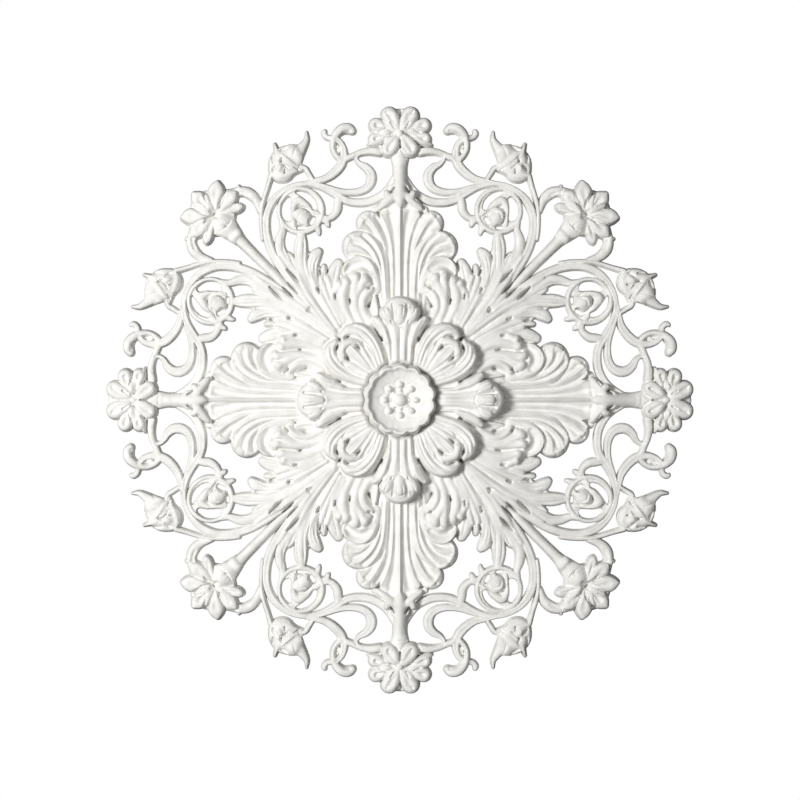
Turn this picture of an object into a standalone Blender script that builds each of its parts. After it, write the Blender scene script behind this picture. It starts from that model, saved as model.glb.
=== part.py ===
"""Ceiling rose: one openwork plaster casting of scrolls, leaves and flowers.

The rose hangs under a ceiling. Its flat back lies in the plane z = 0 and the carved face looks
down along -Z. The pattern repeats eight times, so one eighth of the face is carved as a relief,
mirrored three times, closed with a flat back and turned over.

Carving is drawn in drawing units, of which the rose is DRAWING_WIDTH across: x and y run from the
middle of the rose, y along the axis of a large leaf, and a height is measured from the back.
A member is a row of stations (x, y, half width, height) that a smooth curve passes through.
"""

from math import cos, radians, sin, sqrt

import bmesh
import bpy
import numpy as np
from mathutils import Matrix, Vector
from mathutils.geometry import delaunay_2d_cdt

# Driving dimensions
DIAMETER = 0.703
DRAWING_WIDTH = 586.0
UNIT = DIAMETER / DRAWING_WIDTH

# Relief, in drawing units
SIDE_SLOPE = 6.0
SHOULDER = 1.5
OUTSIDE = -30.0
LEAST_FLOOR = 3.0

# Faceting of the solid
GRID_STEP = 1.5
GRID_MARGIN = 3.0
FACES_OF_EIGHTH = 1050
SEAM = 0.35
MERGE = 0.0001

# Filling of the flat back: triangles enclosed by the given lines, which are met exactly
ENCLOSED = 1
NO_DISTANCE = 1e-9

# Cross-sections: how far the edges of a member lie below its crest, how high its sides start, how deep
# a shadow line runs beside it and how wide, and how deep its middle is scooped
PLATE = {"fall": 1.0}
LEVEL = {"fall": 0.0}
BLUNT = {"fall": 2.0}
SLIM = {"fall": 2.6}
ROUND = {"fall": 3.0}
STRAPPED = {"fall": 3.2}
FULL = {"fall": 4.0}
PETALLED = {"fall": 5.0}
DOMED = {"fall": 6.0}
COLLARED = {"fall": 3.0, "gap": 1.2}
ROLLED = {"fall": 5.0, "foot": 4.0, "gap": 1.5}
BEADED = {"fall": 3.0, "foot": 8.0}
FIRST_LAYER = {"fall": 2.0, "scoop": 2.0}
UPPER_LAYER = {"fall": 2.0, "scoop": 2.0, "gap": 3.0}
TURNED_OVER = {"fall": 6.0, "foot": 8.0, "gap": 3.0}
TIP_LOBE = {"fall": 4.0, "foot": 6.0, "gap": 1.5}
EGG = {"fall": 5.0, "foot": 12.0, "gap": 2.5, "reach": 2.6}
INNER_BASE = {"fall": 0.0, "foot": 4.0}
INNER_LOBE = {"fall": 5.0, "foot": 20.0, "gap": 1.5}
INNER_FLAT = {"fall": 2.0, "foot": 18.0, "gap": 2.0}
INNER_SIDE = {"fall": 3.0, "foot": 18.0, "gap": 1.5}
INNER_CURL = {"fall": 5.0, "foot": 24.0, "gap": 2.0}
ROSETTE_WALL = {"fall": 2.0, "foot": 24.0, "gap": 6.0, "reach": 3.0, "power": 4.0}
RIM_SCALLOP = {"fall": 3.0, "foot": 28.0}
MIDDLE_BOSS = {"fall": 4.0, "foot": 32.0}

# Material: plaster, finished matt white
PLASTER_COLOUR = (0.86, 0.85, 0.83, 1.0)
PLASTER_ROUGHNESS = 0.75

# Where the ornaments stand
SPIRAL_CENTRE = (98.5, 188.6)
SPIRAL_RADIUS = 21.7
DRAWN_SPIRAL_RADIUS = 21.7
RING = (3.0, 9.0)
FLOWER_CENTRE = (0.0, 265.0)
FLOWER_REACH = 31.0
CORNER_FLOWER_CENTRE = (185.5, 185.5)
CORNER_FLOWER_REACH = 26.5
FAR_X = CORNER_FLOWER_CENTRE[0] + CORNER_FLOWER_REACH
FAR_Y = FLOWER_CENTRE[1] + FLOWER_REACH

# Outer scrolls: the strap that runs from the stem over the spiral and down into the corner leaf
STRAP = (
    (4, 224, 3.5, 9), (11, 211.5, 4.4, 9), (19, 203.6, 4.6, 9), (30, 198.2, 4.8, 9),
    (42, 196.8, 4.6, 9), (52, 198.3, 4.4, 9), (61, 203, 4.4, 9), (70, 208.5, 4.2, 9),
    (80, 213, 3.8, 9.5), (93, 215.3, 3.4, 10), (106, 213.2, 3.6, 10), (118, 206.8, 4, 10),
    (127, 197.5, 4.6, 10), (132.3, 185, 4.6, 10), (133.4, 172, 4.8, 10), (131, 158, 5, 10.5),
    (125.5, 144, 5, 11.5), (117, 130, 5, 13), (107, 115, 5, 14),
)
SPIRAL_ARC = (
    (60, 204, 4, 9), (61.6, 196, 4.8, 9), (62.6, 189, 4.8, 9), (67.5, 182.6, 4, 8.5),
    (76, 179, 3.4, 8.5),
)
SPIRAL_BARBS = (
    ((74, 181, 4, 8.5), (72, 175.5, 3.2, 8), (70.8, 173.6, 2, 7)),
    ((83, 173, 4.4, 8.5), (80.8, 168, 3, 8), (80.4, 165.6, 2.2, 7)),
)
C_SCROLL = (
    (43.2, 244, 3, 8), (43.4, 239.6, 2.7, 8), (40, 235.4, 3.3, 8), (33.8, 232, 4.5, 8.5),
    (29, 226, 5.3, 9), (28.6, 218.5, 5.5, 9), (33, 211.4, 4.8, 9), (41.5, 207.6, 4.3, 9),
    (52, 207, 3.8, 9), (62, 208.6, 3.6, 9), (72, 212, 3.2, 9.5), (84, 215.5, 2.8, 10),
)
BRANCH_ROOT = ((20, -18, 5, 12), (29, -17, 4.6, 11))
FLOWER_BRANCH = ((38, 246.8, 4, 9.5), (46, 243.6, 3.8, 9), (54, 240.5, 4, 9))
CURL_STALK = (
    (94, 216.5, 2.6, 10), (84, 218.3, 3.6, 9.6), (74.5, 220.6, 4.4, 9), (66, 226, 5, 9),
    (59.4, 233, 5.2, 9), (56, 241, 4.8, 9), (55.8, 248.5, 4, 9), (58.4, 255.5, 3.6, 10),
    (64, 260.4, 4, 11),
)
CURL_LEAF = (
    (57, 238, 3.5, 8.8), (63.2, 243.2, 3.4, 9), (66.6, 250, 3.4, 9.5), (66.4, 257, 4, 11),
    (63.5, 264.6, 5, 12.5), (58, 269.8, 5.8, 13.5), (51.6, 270.6, 6, 12.6), (47.4, 268.4, 4.6, 11),
)
CURL_EYE = ((58, 252, 3, 6), (62, 248, 3, 6))
CURL_BALL = ((67.5, 260.5, 3.4, 9), (73, 262, 3.4, 8.5), (75.6, 265.4, 3.4, 8.5), (75, 267.6, 3, 8.5))
BUD_HORNS = (
    ((93, 267, 1.9, 9), (93, 259.5, 3.6, 10), (98, 251, 5.8, 12), (104, 243, 8, 14)),
    ((124.8, 255, 2.3, 9), (123, 250, 4, 11), (119, 243, 8, 14)),
)
BUD = ((109, 243.5, 11.5, 15), (115.4, 237, 16.2, 17), (117.8, 230, 14.4, 16))
BUD_COLLAR = (
    (97.6, 230, 3, 9), (105, 227.8, 3.4, 11), (112, 223.6, 3.6, 12), (120, 221.6, 3.6, 12),
    (127.5, 223.5, 3.4, 12),
)
BUD_TENDRIL = ((87, 220, 2.8, 9), (91, 226, 3.2, 9), (94.4, 231, 3.2, 9.5), (101, 232.4, 3, 10.5))
BUD_STEM = (
    (136.6, 160, 2.6, 10), (138, 172, 2.7, 10), (138, 184, 2.8, 10), (136.9, 194, 2.9, 10),
    (134.6, 203, 3.1, 10), (131.4, 213, 3.2, 10), (128.6, 223, 3.6, 12),
)
HOOK_LEAF = (
    (139.4, 188, 3.2, 9), (143, 199, 5, 9.5), (149.5, 205.6, 6, 11), (157, 208, 5.6, 12),
    (165, 206, 6, 13), (173, 203, 7, 14),
)
HOOK_BARB = ((160, 210, 3.4, 11), (160.6, 213, 2.4, 10))
STRAP_OPENINGS = (
    ((123.4, 192.5, 0.8), (126, 183, 2.1), (125.2, 173, 3.4), (126, 165.6, 1.7)),
    ((96.6, 222.3, 1.5), (101, 222.8, 1.7), (106, 220.8, 0.7)),
)

# Bud rolled up inside the spiral
SPIRAL_FLOOR_HEIGHT = 7.0
SPIRAL_HOOD = (
    (79, 184, 3.4, 9), (86, 188, 4.4, 10.5), (93.4, 194, 5.6, 12), (101, 199, 5.4, 12.5),
    (106.4, 193, 4.2, 11.5), (106, 183, 4, 10.5), (105.4, 174, 3.4, 9),
)
SPIRAL_BUD = ((94.6, 179.6, 8, 15), (98.4, 184.4, 7.6, 16))
SPIRAL_OPENINGS = (
    ((78.6, 205.4, 0.7), (73, 200.6, 2.5), (69.6, 194, 2.7), (70.4, 189.6, 2.5), (72.4, 188.4, 1.6)),
    ((84.8, 192, 2.2), (87.2, 197.6, 2.7), (93, 203, 2.9), (99, 206, 1.9), (102.6, 206.9, 0.8)),
    ((110.6, 199.6, 2.4), (113.4, 192.6, 4), (113.2, 184.6, 4.2), (111.4, 180.8, 2.6)),
    ((86, 180.6, 1.8), (88.4, 176.6, 1.8)),
    ((97.6, 171.6, 1.5), (101, 171.6, 1.5)),
)

# Stem that joins the large leaf to its flower, and its top as x and y from the flower's centre
STEM_TOP = ((0, -15, 9, 13), (0, -22, 9.6, 12.5))
STEM = ((0, 235, 8.2, 12), (0, 228, 7.6, 12), (0, 220, 8.6, 12.5), (0, 212, 10.5, 13), (0, 203, 12, 14))
STEM_RIB = ((0, 246, 3.2, 3), (0, 236, 3, 3), (0, 224, 2.8, 3), (0, 214, 2.6, 2.5))

# Flowers: petals and the rest as x and y from the flower's centre, half width, height
FLOWER_DISC = ((0, 0, 25, 13), (0, 1, 25, 13))
FLOWER_PITS = ((7.2, -1.4, 5.2, 6), (8, -1.4, 5.2, 6))
FLOWER_EYE = ((0, -1, 4.4, 17), (0, 0, 4.4, 17))
PETALS = (
    (0, 16, 7.5, 15), (10.6, 18.4, 9.6, 17.5), (23.6, 8.4, 8.6, 16), (24.4, -5.4, 8, 16),
    (11.4, -16, 9.6, 18.5),
)
PETAL_BARB = ((26, -9, 5, 14), (31.4, -11, 2.4, 13))
PETAL_ROOT = (0.3, 0.55, 16.0)
PETAL_MIDDLE = (0.65, 0.9)
CORNER_DISC = ((0.5, 0.5, 21, 14), (1.5, 1.5, 21, 14))
CORNER_PIT = ((-0.5, -0.5, 7.5, 6), (0.5, 0.5, 7.5, 6))
CORNER_EYE = ((1.5, 1.5, 2.6, 15), (2, 2, 2.6, 15))
CORNER_PETALS = (
    (-26.9, 6.5, 5, 15), (-18.9, 17.5, 6.6, 15), (-4.5, 25.9, 8, 16), (14.9, 14.9, 8.6, 15),
)
CORNER_STEM_TOP = ((-10.5, -10.5, 12, 17), (-19.5, -19.5, 9, 15))
CORNER_KNOB = ((-22.9, -22.9, 5, 17), (-21.5, -21.5, 5, 17))

# Stem that joins the corner leaf to its flower
CORNER_STEM = ((157, 157, 6.2, 12.5), (140, 140, 5.5, 11.5), (118, 118, 5, 13), (95, 95, 5, 16))

# Corner leaf
CORNER_LEAF_BODY = (
    ((52, 70, 12, 17), (66, 92, 14, 15), (80, 112, 14, 13), (91, 130, 11, 10), (97, 146, 7, 8.5)),
    ((75, 75, 20, 17), (93, 100, 16, 15), (106, 118, 9, 12)),
    ((57, 116, 6, 10), (59, 124, 6, 10), (60, 132, 5, 10)),
)
CORNER_LEAF_LOBES = (
    ((92, 106, 6, 17), (103, 124, 6.4, 15), (113, 139, 6.4, 12), (119, 150, 5.8, 10.5),
     (119.6, 160, 5.2, 9.5), (116.6, 170, 4, 9), (118, 178, 3, 9)),
    ((82, 92, 7, 18), (92, 112, 7, 16), (97, 131, 7.4, 14), (98.6, 147, 7.6, 12), (98.6, 156, 7, 10.5),
     (98, 166, 4.4, 9)),
    ((85, 102, 5, 17), (97, 119, 6.4, 15), (104.5, 131, 6.8, 13), (108.4, 139, 5.8, 11.5),
     (110.6, 145, 3.4, 10)),
    ((70, 83, 6, 19), (80, 103, 6.4, 17), (86.4, 121, 7, 15), (87.6, 134, 7, 13), (84.6, 143, 7, 12),
     (81, 147.6, 5, 11)),
    ((64, 80, 6, 20), (71, 98, 6, 18), (77, 114, 5.6, 15.5), (76.6, 125, 4.8, 13.5), (75.6, 133, 3.4, 12)),
    ((56, 78, 6, 20), (64, 96, 7.6, 18), (67, 112, 8, 15), (64.6, 126, 7.6, 13), (61.6, 136, 5.6, 11)),
)
CORNER_LEAF_PITS = (
    ((100, 119.5, 1.8, 9), (108, 126, 1.8, 9)),
    ((102.5, 108.5, 2, 8), (107, 105.5, 2, 8)),
)

# Lobe between the two leaves, with its end turned over
MIDDLE_BODY = ((36, 76, 15, 18), (42, 95, 20, 17.5), (46, 110, 19, 16))
MIDDLE_FLUTES = (
    ((23, 80, 3.6, 20), (22.6, 92, 3.6, 19), (24, 103, 3.4, 18)),
    ((33.6, 80, 4.6, 21), (37, 88, 4.6, 21), (36.4, 96, 4.4, 20.5), (32, 103, 4.2, 20), (26.6, 107, 3.4, 19)),
    ((41, 80, 5, 21), (44, 95, 5.4, 20), (43, 108, 6.4, 19), (39, 118, 6, 18)),
    ((47, 80, 4.6, 21), (54, 94, 7, 20.5), (57, 104, 8.6, 19), (57, 112, 9, 18)),
)
MIDDLE_EYES = (
    ((28.4, 99, 1.8, 7), (31, 95, 3, 9), (31.6, 93, 2.6, 8)),
    ((48.6, 96.6, 2.2, 9), (49, 99.6, 2.2, 9)),
    ((63.6, 101.4, 2.2, 8), (64.4, 105, 2, 8)),
    ((80.4, 107.8, 2.2, 7), (81.6, 111, 2.2, 7)),
    ((78.8, 125.4, 2.2, 7), (80, 128.6, 2, 7)),
)
TURNED_END = (
    (30, 117.6, 5.4, 20), (36, 120.4, 6.6, 22), (44, 121.4, 6.8, 22), (50, 117.8, 5.6, 20.6),
    (58, 114.6, 6.2, 20), (64, 109, 4, 18),
)

# Large leaf, from its lowest layer to its highest
LEAF_BODY = (
    (0, 88, 27, 15), (0, 116, 27, 14), (3, 140, 23, 13.5), (4, 160, 20, 13), (6, 180, 16, 13),
    (0, 190, 18, 14),
)
LEAF_BLADE = (
    (0, 90, 9.4, 19), (0, 130, 9.4, 17.4), (0, 150, 10, 16.4), (0, 165, 12, 16), (0, 177, 15, 16.4),
    (0, 187, 19, 18),
)
LEAF_LOBES = (
    ((12, 100, 8, 17), (16, 135, 9.6, 15.5), (23, 163, 13, 14.5), (31, 176, 13.4, 14)),
    ((15, 96, 6, 17), (18, 122, 8, 16), (26, 143, 13, 15.6), (38, 151, 16.4, 15.6), (42, 152.6, 15, 15)),
    ((24, 110, 6, 16), (30, 124, 10, 16), (39, 129, 14.6, 17), (45, 129, 12, 16)),
)
LEAF_SCOOPS = (
    ((5.4, 110, 3.4, 2.5), (5.4, 140, 3.6, 2.8), (6.4, 170, 4.6, 3.4), (8, 186, 5, 3.6)),
    ((13, 120, 3.2, 1.6), (14, 145, 3.6, 2.4), (18, 165, 4.2, 3.4), (22.6, 178, 5, 4), (23, 182, 4, 3)),
    ((20, 150, 2.8, 1.6), (25, 163, 3.2, 2.6), (32.5, 173, 4.4, 4)),
    ((19, 128, 2.8, 1.8), (25, 148, 3.4, 2.6), (36, 161, 4.4, 3.4), (43, 162, 3.6, 2.2)),
    ((27, 142, 2.8, 1.8), (36, 152, 3.8, 3), (48, 152, 4.4, 3.4)),
    ((36, 133, 6, 4), (44, 131, 6, 5), (53, 126, 4.6, 7)),
)
LEAF_NOTCHES = (((55, 139.6, 2.6, 9),), ((70.4, 133.8, 2.2, 8),))
LEAF_RIB = ((0, 98, 1.9, 2.2), (0, 140, 1.9, 2.2), (0, 192, 1.7, 1.8))

# Turned over tip of the large leaf
TIP_BODY = ((0, 197, 11, 20), (0, 203, 12, 21))
TIP_WEB = ((16, 194, 4, 9), (25, 189.6, 4, 9))
TIP_LOBES = (
    ((14, 200, 5.6, 19), (20.6, 193.6, 4.4, 17)),
    ((12.4, 203, 5.4, 21), (12.8, 204, 5.4, 21)),
)
TIP_EGG = ((0, 208.6, 3.8, 23), (0, 202.6, 6.6, 26), (0, 197, 5.4, 25), (0, 193, 3, 22))
TIP_SLITS = ((5.2, 210.6, 2.1, 11), (8.6, 206.4, 2.2, 11))

# Inner tier of leaves
INNER_BED = ((0, 0, 64, 27), (1, 1, 64, 27))
INNER_LEAF_BODY = ((28, 28, 20, 29), (42, 46, 22, 27), (46, 56, 18, 26))
INNER_LEAF_LOBES = (
    ((14, 34, 7, 32), (21, 50, 8, 32), (31, 64, 9, 31), (43, 71.6, 8, 31), (53.6, 68, 6.6, 31),
     (57.6, 63, 4.4, 30)),
    ((25, 34, 5, 33), (32, 47, 5.6, 33), (40, 55.6, 5, 33.5), (48, 59.4, 4, 33.5), (54, 57, 3.4, 32)),
)
INNER_LEAF_MIDDLE = ((26, 26, 10, 33), (38, 38, 10, 34), (47, 47, 7.6, 34.5))
INNER_LEAF_GROOVES = (
    ((27.5, 44.5, 1.8, 4), (32, 52, 2.2, 5), (38.5, 58, 2.2, 5), (45, 63.6, 2.2, 5), (51, 62.6, 2.8, 8)),
    ((39, 50.8, 2.2, 5), (42.6, 51.8, 2.6, 9), (47, 54.6, 1.6, 3), (51, 55.4, 1.4, 3)),
)
INNER_NOTCH = ((57.6, 58, 2.8, 11), (58.4, 58.8, 2.8, 11))
INNER_BLADE = ((0, 34, 12, 33), (0, 50, 13, 33), (0, 64, 15, 33), (0, 76, 18.4, 34), (0, 84, 18.4, 35))
INNER_BLADE_LOBES = (
    ((11, 58, 4.8, 31.5), (16, 68, 5, 31.5), (20.6, 74, 4, 30.5)),
    ((17, 66, 4, 30.5), (22, 77, 4.6, 30.5), (25, 80.4, 3.2, 29)),
)
INNER_BLADE_PIT = ((17.4, 60.2, 2.4, 9), (18, 61.6, 2.4, 9))
INNER_BLADE_RIBS = (
    ((4, 40, 2.2, 2), (3, 60, 2.2, 2), (3, 78, 2.4, 2)),
    ((9, 42, 2.2, 1.6), (8.4, 60, 2.4, 1.8), (9, 78, 2.6, 2)),
)
INNER_TIP = (
    ((15.6, 90.4, 5, 36), (15, 89, 5, 36)),
    ((8, 90, 6.4, 38), (8, 86, 6, 38)),
    ((0, 92, 4.4, 37), (0, 86.4, 6, 40), (0, 80, 4, 38)),
)
INNER_TIP_NOTCH = ((0, 96.4, 2.2, 6), (0, 95.6, 2.2, 6))

# Rosette in the middle
ROSETTE_RADIUS = 36.4
ROSETTE_HEIGHT = 40.0
RIM_RADIUS = 34.0
RIM_SPREAD = 11.5
SCALLOP = (3.0, 42.5)
SCALLOP_ANGLES = (90, 60, 30)
DISH_RADIUS = 29.0
DISH_DEPTH = 6.0
DISH_SHAPE = 0.7
PETAL_RING_RADIUS = 24.0
ROSETTE_PETAL = (5.5, 2.4)
BEAD_RING_RADIUS = 15.4
BEAD = (3.6, 3.4)
BEAD_ANGLES = (90, 45)
PIT_RING_RADIUS = 14.0
PIT = (2.6, 4.0)
PIT_ANGLE = 67.5
BOSS = ((0, 0, 5.4, 43),)


def remove_scene_objects():
    """Empty the scene."""
    for obj in list(bpy.data.objects):
        bpy.data.objects.remove(obj, do_unlink=True)


def smooth_path(stations, steps=8):
    """Return points of a smooth curve through stations, with width and height carried along."""
    rows = np.array([tuple(row) + (0.0,) * (4 - len(row)) for row in stations], float)
    if len(rows) == 1:
        rows = np.vstack([rows, rows + (0.01, 0.0, 0.0, 0.0)])
    if len(rows) == 2:
        return rows
    ends = np.vstack([2 * rows[0] - rows[1], rows, 2 * rows[-1] - rows[-2]])
    t = (np.arange(steps) / steps)[:, None]
    spans = []
    for a, b, c, d in zip(ends, ends[1:], ends[2:], ends[3:]):
        line = 2 * b + (c - a) * t
        bend = (2 * a - 5 * b + 4 * c - d) * t**2 + (3 * b - a - 3 * c + d) * t**3
        spans.append((line + bend) / 2)
    return np.vstack(spans + [rows[-1:]])


def smooth_larger(a, b, blend):
    """Return the larger of two heights, rounded where they meet."""
    near = np.clip(blend - np.abs(a - b), 0, None) / blend
    return np.maximum(a, b) + near * near * blend / 4


def smooth_smaller(a, b, blend):
    """Return the smaller of two heights, rounded where they meet."""
    return -smooth_larger(-a, -b, blend)


def mirrored(stations):
    """Return stations mirrored in the diagonal of the drawing."""
    return tuple((y, x, *rest) for x, y, *rest in stations)


class Relief:
    """Heights of the carved face at a set of points, built up member by member."""

    def __init__(self, x, y):
        self.x = x
        self.y = y
        self.height = np.full(x.shape, OUTSIDE)

    def measure(self, stations, reach):
        """Measure the points near a member.

        Return which points they are, how far inside its edge they lie, the height of its crest there,
        and how far across it they lie as a share of its half width.
        """
        path = smooth_path(stations)
        widths = np.maximum(path[:, 2], 0.05)
        pad = widths.max() + reach
        near = np.nonzero(
            (self.x > path[:, 0].min() - pad) & (self.x < path[:, 0].max() + pad)
            & (self.y > path[:, 1].min() - pad) & (self.y < path[:, 1].max() + pad)
        )[0]
        x, y = self.x[near], self.y[near]
        inside = np.full(len(near), -1e9)
        crest = np.zeros(len(near))
        share = np.zeros(len(near))
        for start, end, width, next_width in zip(path, path[1:], widths, widths[1:]):
            run = end[:2] - start[:2]
            along = ((x - start[0]) * run[0] + (y - start[1]) * run[1]) / (run @ run + 1e-9)
            along = np.clip(along, 0, 1)
            away = np.hypot(x - start[0] - along * run[0], y - start[1] - along * run[1])
            local = width * (1 - along) + next_width * along
            better = local - away > inside
            inside[better] = (local - away)[better]
            crest[better] = (start[3] * (1 - along) + end[3] * along)[better]
            share[better] = (away / local)[better]
        return near, inside, crest, share

    def member(self, stations, fall=3.0, foot=0.0, gap=0.0, reach=2.0, scoop=0.0, power=2.0):
        """Add a member whose upright sides start at foot and whose edges lie lower than its crest by fall.

        A gap lowers what lies just outside the member, and a scoop hollows its middle.
        """
        near, inside, crest, share = self.measure(stations, 5.0)
        across = np.clip(share, 0, 1)
        top = crest - fall * across**power
        if scoop:
            top = top - scoop * (1 - np.clip(across / 0.78, 0, 1) ** 2)
        new = smooth_smaller(foot + SIDE_SLOPE * inside, top, SHOULDER)
        old = self.height[near]
        if gap:
            lowered = old - gap * np.clip(1 + inside / reach, 0, 1) ** 1.5
            old = np.maximum(lowered, np.minimum(old, LEAST_FLOOR))
        self.height[near] = smooth_larger(old, new, 0.8)

    def swell(self, stations, fall=4.0, blend=1.5):
        """Add a soft member that rises out of what it lies on, with no sides of its own."""
        near, inside, crest, share = self.measure(stations, 5.0)
        top = np.where(share < 1.6, crest - fall * share**2, OUTSIDE)
        on_casting = self.height[near] > 1
        joined = smooth_larger(self.height[near], top, blend)
        self.height[near] = np.where(on_casting, joined, self.height[near])

    def rib(self, stations):
        """Raise a rounded line; a station's height is how far it rises."""
        near, inside, rise, share = self.measure(stations, 0.5)
        across = np.clip(share, 0, 1)
        self.height[near] += rise * (1 - across**2) ** 2

    def groove(self, stations):
        """Cut a rounded line as deep as its stations' heights, but never through the casting."""
        near, inside, depth, share = self.measure(stations, 0.5)
        across = np.clip(share, 0, 1)
        old = self.height[near]
        cut = np.maximum(old - depth * (1 - across**2) ** 2, np.minimum(old, LEAST_FLOOR))
        self.height[near] = np.where(old > LEAST_FLOOR, cut, old)

    def opening(self, stations):
        """Cut right through the casting."""
        near, inside, _, _ = self.measure(stations, 5.0)
        self.height[near] = smooth_smaller(self.height[near], -SIDE_SLOPE * inside, 0.5)


def in_spiral(stations):
    """Return stations that were drawn for DRAWN_SPIRAL_RADIUS, fitted to the spiral's radius."""
    grow = SPIRAL_RADIUS / DRAWN_SPIRAL_RADIUS
    middle_x, middle_y = SPIRAL_CENTRE
    return tuple(
        (middle_x + grow * (x - middle_x), middle_y + grow * (y - middle_y), *rest)
        for x, y, *rest in stations
    )


def placed(centre, stations):
    """Return stations that are given from a centre, placed in the drawing."""
    return tuple((centre[0] + x, centre[1] + y, *rest) for x, y, *rest in stations)


def petal(centre, end):
    """Return the stations of a petal that runs from a flower's centre to its end."""
    x, y, width, height = end
    root, root_share, root_height = PETAL_ROOT
    middle, middle_share = PETAL_MIDDLE
    return placed(centre, (
        (root * x, root * y, root_share * width, root_height),
        (middle * x, middle * y, middle_share * width, height),
        end,
    ))


def carve_scrolls(relief):
    """Carve the outer scrollwork with its bud and its curled leaf."""
    relief.member(STRAP, **STRAPPED)
    relief.member(SPIRAL_ARC, **SLIM)
    for barb in SPIRAL_BARBS:
        relief.member(barb, **BLUNT)
    relief.member(C_SCROLL, **STRAPPED)
    relief.member((*placed(FLOWER_CENTRE, BRANCH_ROOT), *FLOWER_BRANCH), **ROUND)
    relief.member(CURL_STALK, **STRAPPED)
    relief.member(CURL_LEAF, **FULL)
    relief.member(CURL_EYE, **PLATE)
    relief.member(CURL_BALL, **BLUNT)
    for horn in BUD_HORNS:
        relief.member(horn, **ROUND)
    relief.member(BUD, **DOMED)
    relief.member(BUD_COLLAR, **COLLARED)
    relief.member(BUD_TENDRIL, **SLIM)
    relief.member(BUD_STEM, **SLIM)
    relief.member(HOOK_LEAF, **FULL)
    relief.member(HOOK_BARB, **BLUNT)


def carve_spiral(relief):
    """Carve the spiral's ring and the bud inside it, then the openings through the scrollwork."""
    x, y = SPIRAL_CENTRE
    turns = [radians(angle) for angle in range(-90, 271, 20)]
    relief.member([(x + SPIRAL_RADIUS * cos(a), y + SPIRAL_RADIUS * sin(a), *RING) for a in turns], **SLIM)
    relief.member(((x, y, SPIRAL_RADIUS, SPIRAL_FLOOR_HEIGHT),), **LEVEL)
    relief.member(in_spiral(SPIRAL_HOOD), **ROUND)
    relief.member(in_spiral(SPIRAL_BUD), **ROLLED)
    for opening in SPIRAL_OPENINGS:
        relief.opening(in_spiral(opening))
    for opening in STRAP_OPENINGS:
        relief.opening(opening)


def carve_stem_and_flower(relief):
    """Carve the flower on the axis of the large leaf and its stem."""
    relief.member((*placed(FLOWER_CENTRE, STEM_TOP), *STEM), **PETALLED)
    relief.rib(STEM_RIB)
    relief.member(placed(FLOWER_CENTRE, FLOWER_DISC), **BLUNT)
    for end in PETALS:
        relief.member(petal(FLOWER_CENTRE, end), **PETALLED)
    relief.member(placed(FLOWER_CENTRE, PETAL_BARB), **ROUND)
    relief.groove(placed(FLOWER_CENTRE, FLOWER_PITS))
    relief.member(placed(FLOWER_CENTRE, FLOWER_EYE), **BEADED)


def carve_corner_flower(relief):
    """Carve the flower on the diagonal and its stem."""
    relief.member((*placed(CORNER_FLOWER_CENTRE, CORNER_STEM_TOP), *CORNER_STEM), **FULL)
    relief.member(placed(CORNER_FLOWER_CENTRE, CORNER_KNOB), **BEADED)
    relief.member(placed(CORNER_FLOWER_CENTRE, CORNER_DISC), **ROUND)
    for end in CORNER_PETALS:
        relief.member(petal(CORNER_FLOWER_CENTRE, end), **FULL)
        relief.member(mirrored(petal(CORNER_FLOWER_CENTRE, end)), **FULL)
    relief.groove(placed(CORNER_FLOWER_CENTRE, CORNER_PIT))
    relief.member(placed(CORNER_FLOWER_CENTRE, CORNER_EYE), **BEADED)


def carve_corner_leaf(relief):
    """Carve the leaf on the diagonal."""
    for body in CORNER_LEAF_BODY:
        relief.member(body, **PLATE)
    for lobe in CORNER_LEAF_LOBES:
        relief.member(lobe, **ROUND)
    for pit in CORNER_LEAF_PITS:
        relief.groove(pit)
        relief.groove(mirrored(pit))


def carve_middle_lobe(relief):
    """Carve the lobe between the two leaves, as far as its turned end."""
    relief.member(MIDDLE_BODY, **BLUNT)
    for flute in MIDDLE_FLUTES:
        relief.swell(flute, **FULL)
    for eye in MIDDLE_EYES:
        relief.groove(eye)


def carve_large_leaf(relief):
    """Carve the large leaf with its turned over tip, and the turned end beside it."""
    relief.member(LEAF_BODY, **PLATE)
    relief.member(LEAF_LOBES[0], **FIRST_LAYER)
    relief.swell(LEAF_BLADE, **PLATE)
    for lobe in LEAF_LOBES[1:]:
        relief.member(lobe, **UPPER_LAYER)
    for hollow in LEAF_SCOOPS + LEAF_NOTCHES:
        relief.groove(hollow)
    relief.member(TURNED_END, **TURNED_OVER)
    relief.rib(LEAF_RIB)
    relief.member(TIP_WEB, **PLATE)
    relief.member(TIP_BODY, **ROUND)
    for lobe in TIP_LOBES:
        relief.member(lobe, **TIP_LOBE)
    relief.member(TIP_EGG, **EGG)
    relief.groove(TIP_SLITS)


def carve_inner_tier(relief):
    """Carve the inner tier of leaves about the rosette."""
    relief.member(INNER_BED, **INNER_BASE)
    for turn in (tuple, mirrored):
        relief.member(turn(INNER_LEAF_BODY), **BLUNT)
        for lobe in INNER_LEAF_LOBES:
            relief.member(turn(lobe), **INNER_LOBE)
        for groove in INNER_LEAF_GROOVES:
            relief.groove(turn(groove))
    relief.swell(INNER_LEAF_MIDDLE, **PETALLED)
    relief.groove(INNER_NOTCH)
    relief.member(INNER_BLADE, **INNER_FLAT)
    for lobe in INNER_BLADE_LOBES:
        relief.member(lobe, **INNER_SIDE)
    relief.groove(INNER_BLADE_PIT)
    for rib in INNER_BLADE_RIBS:
        relief.rib(rib)
    for lobe in INNER_TIP:
        relief.member(lobe, **INNER_CURL)
    relief.groove(INNER_TIP_NOTCH)


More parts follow.
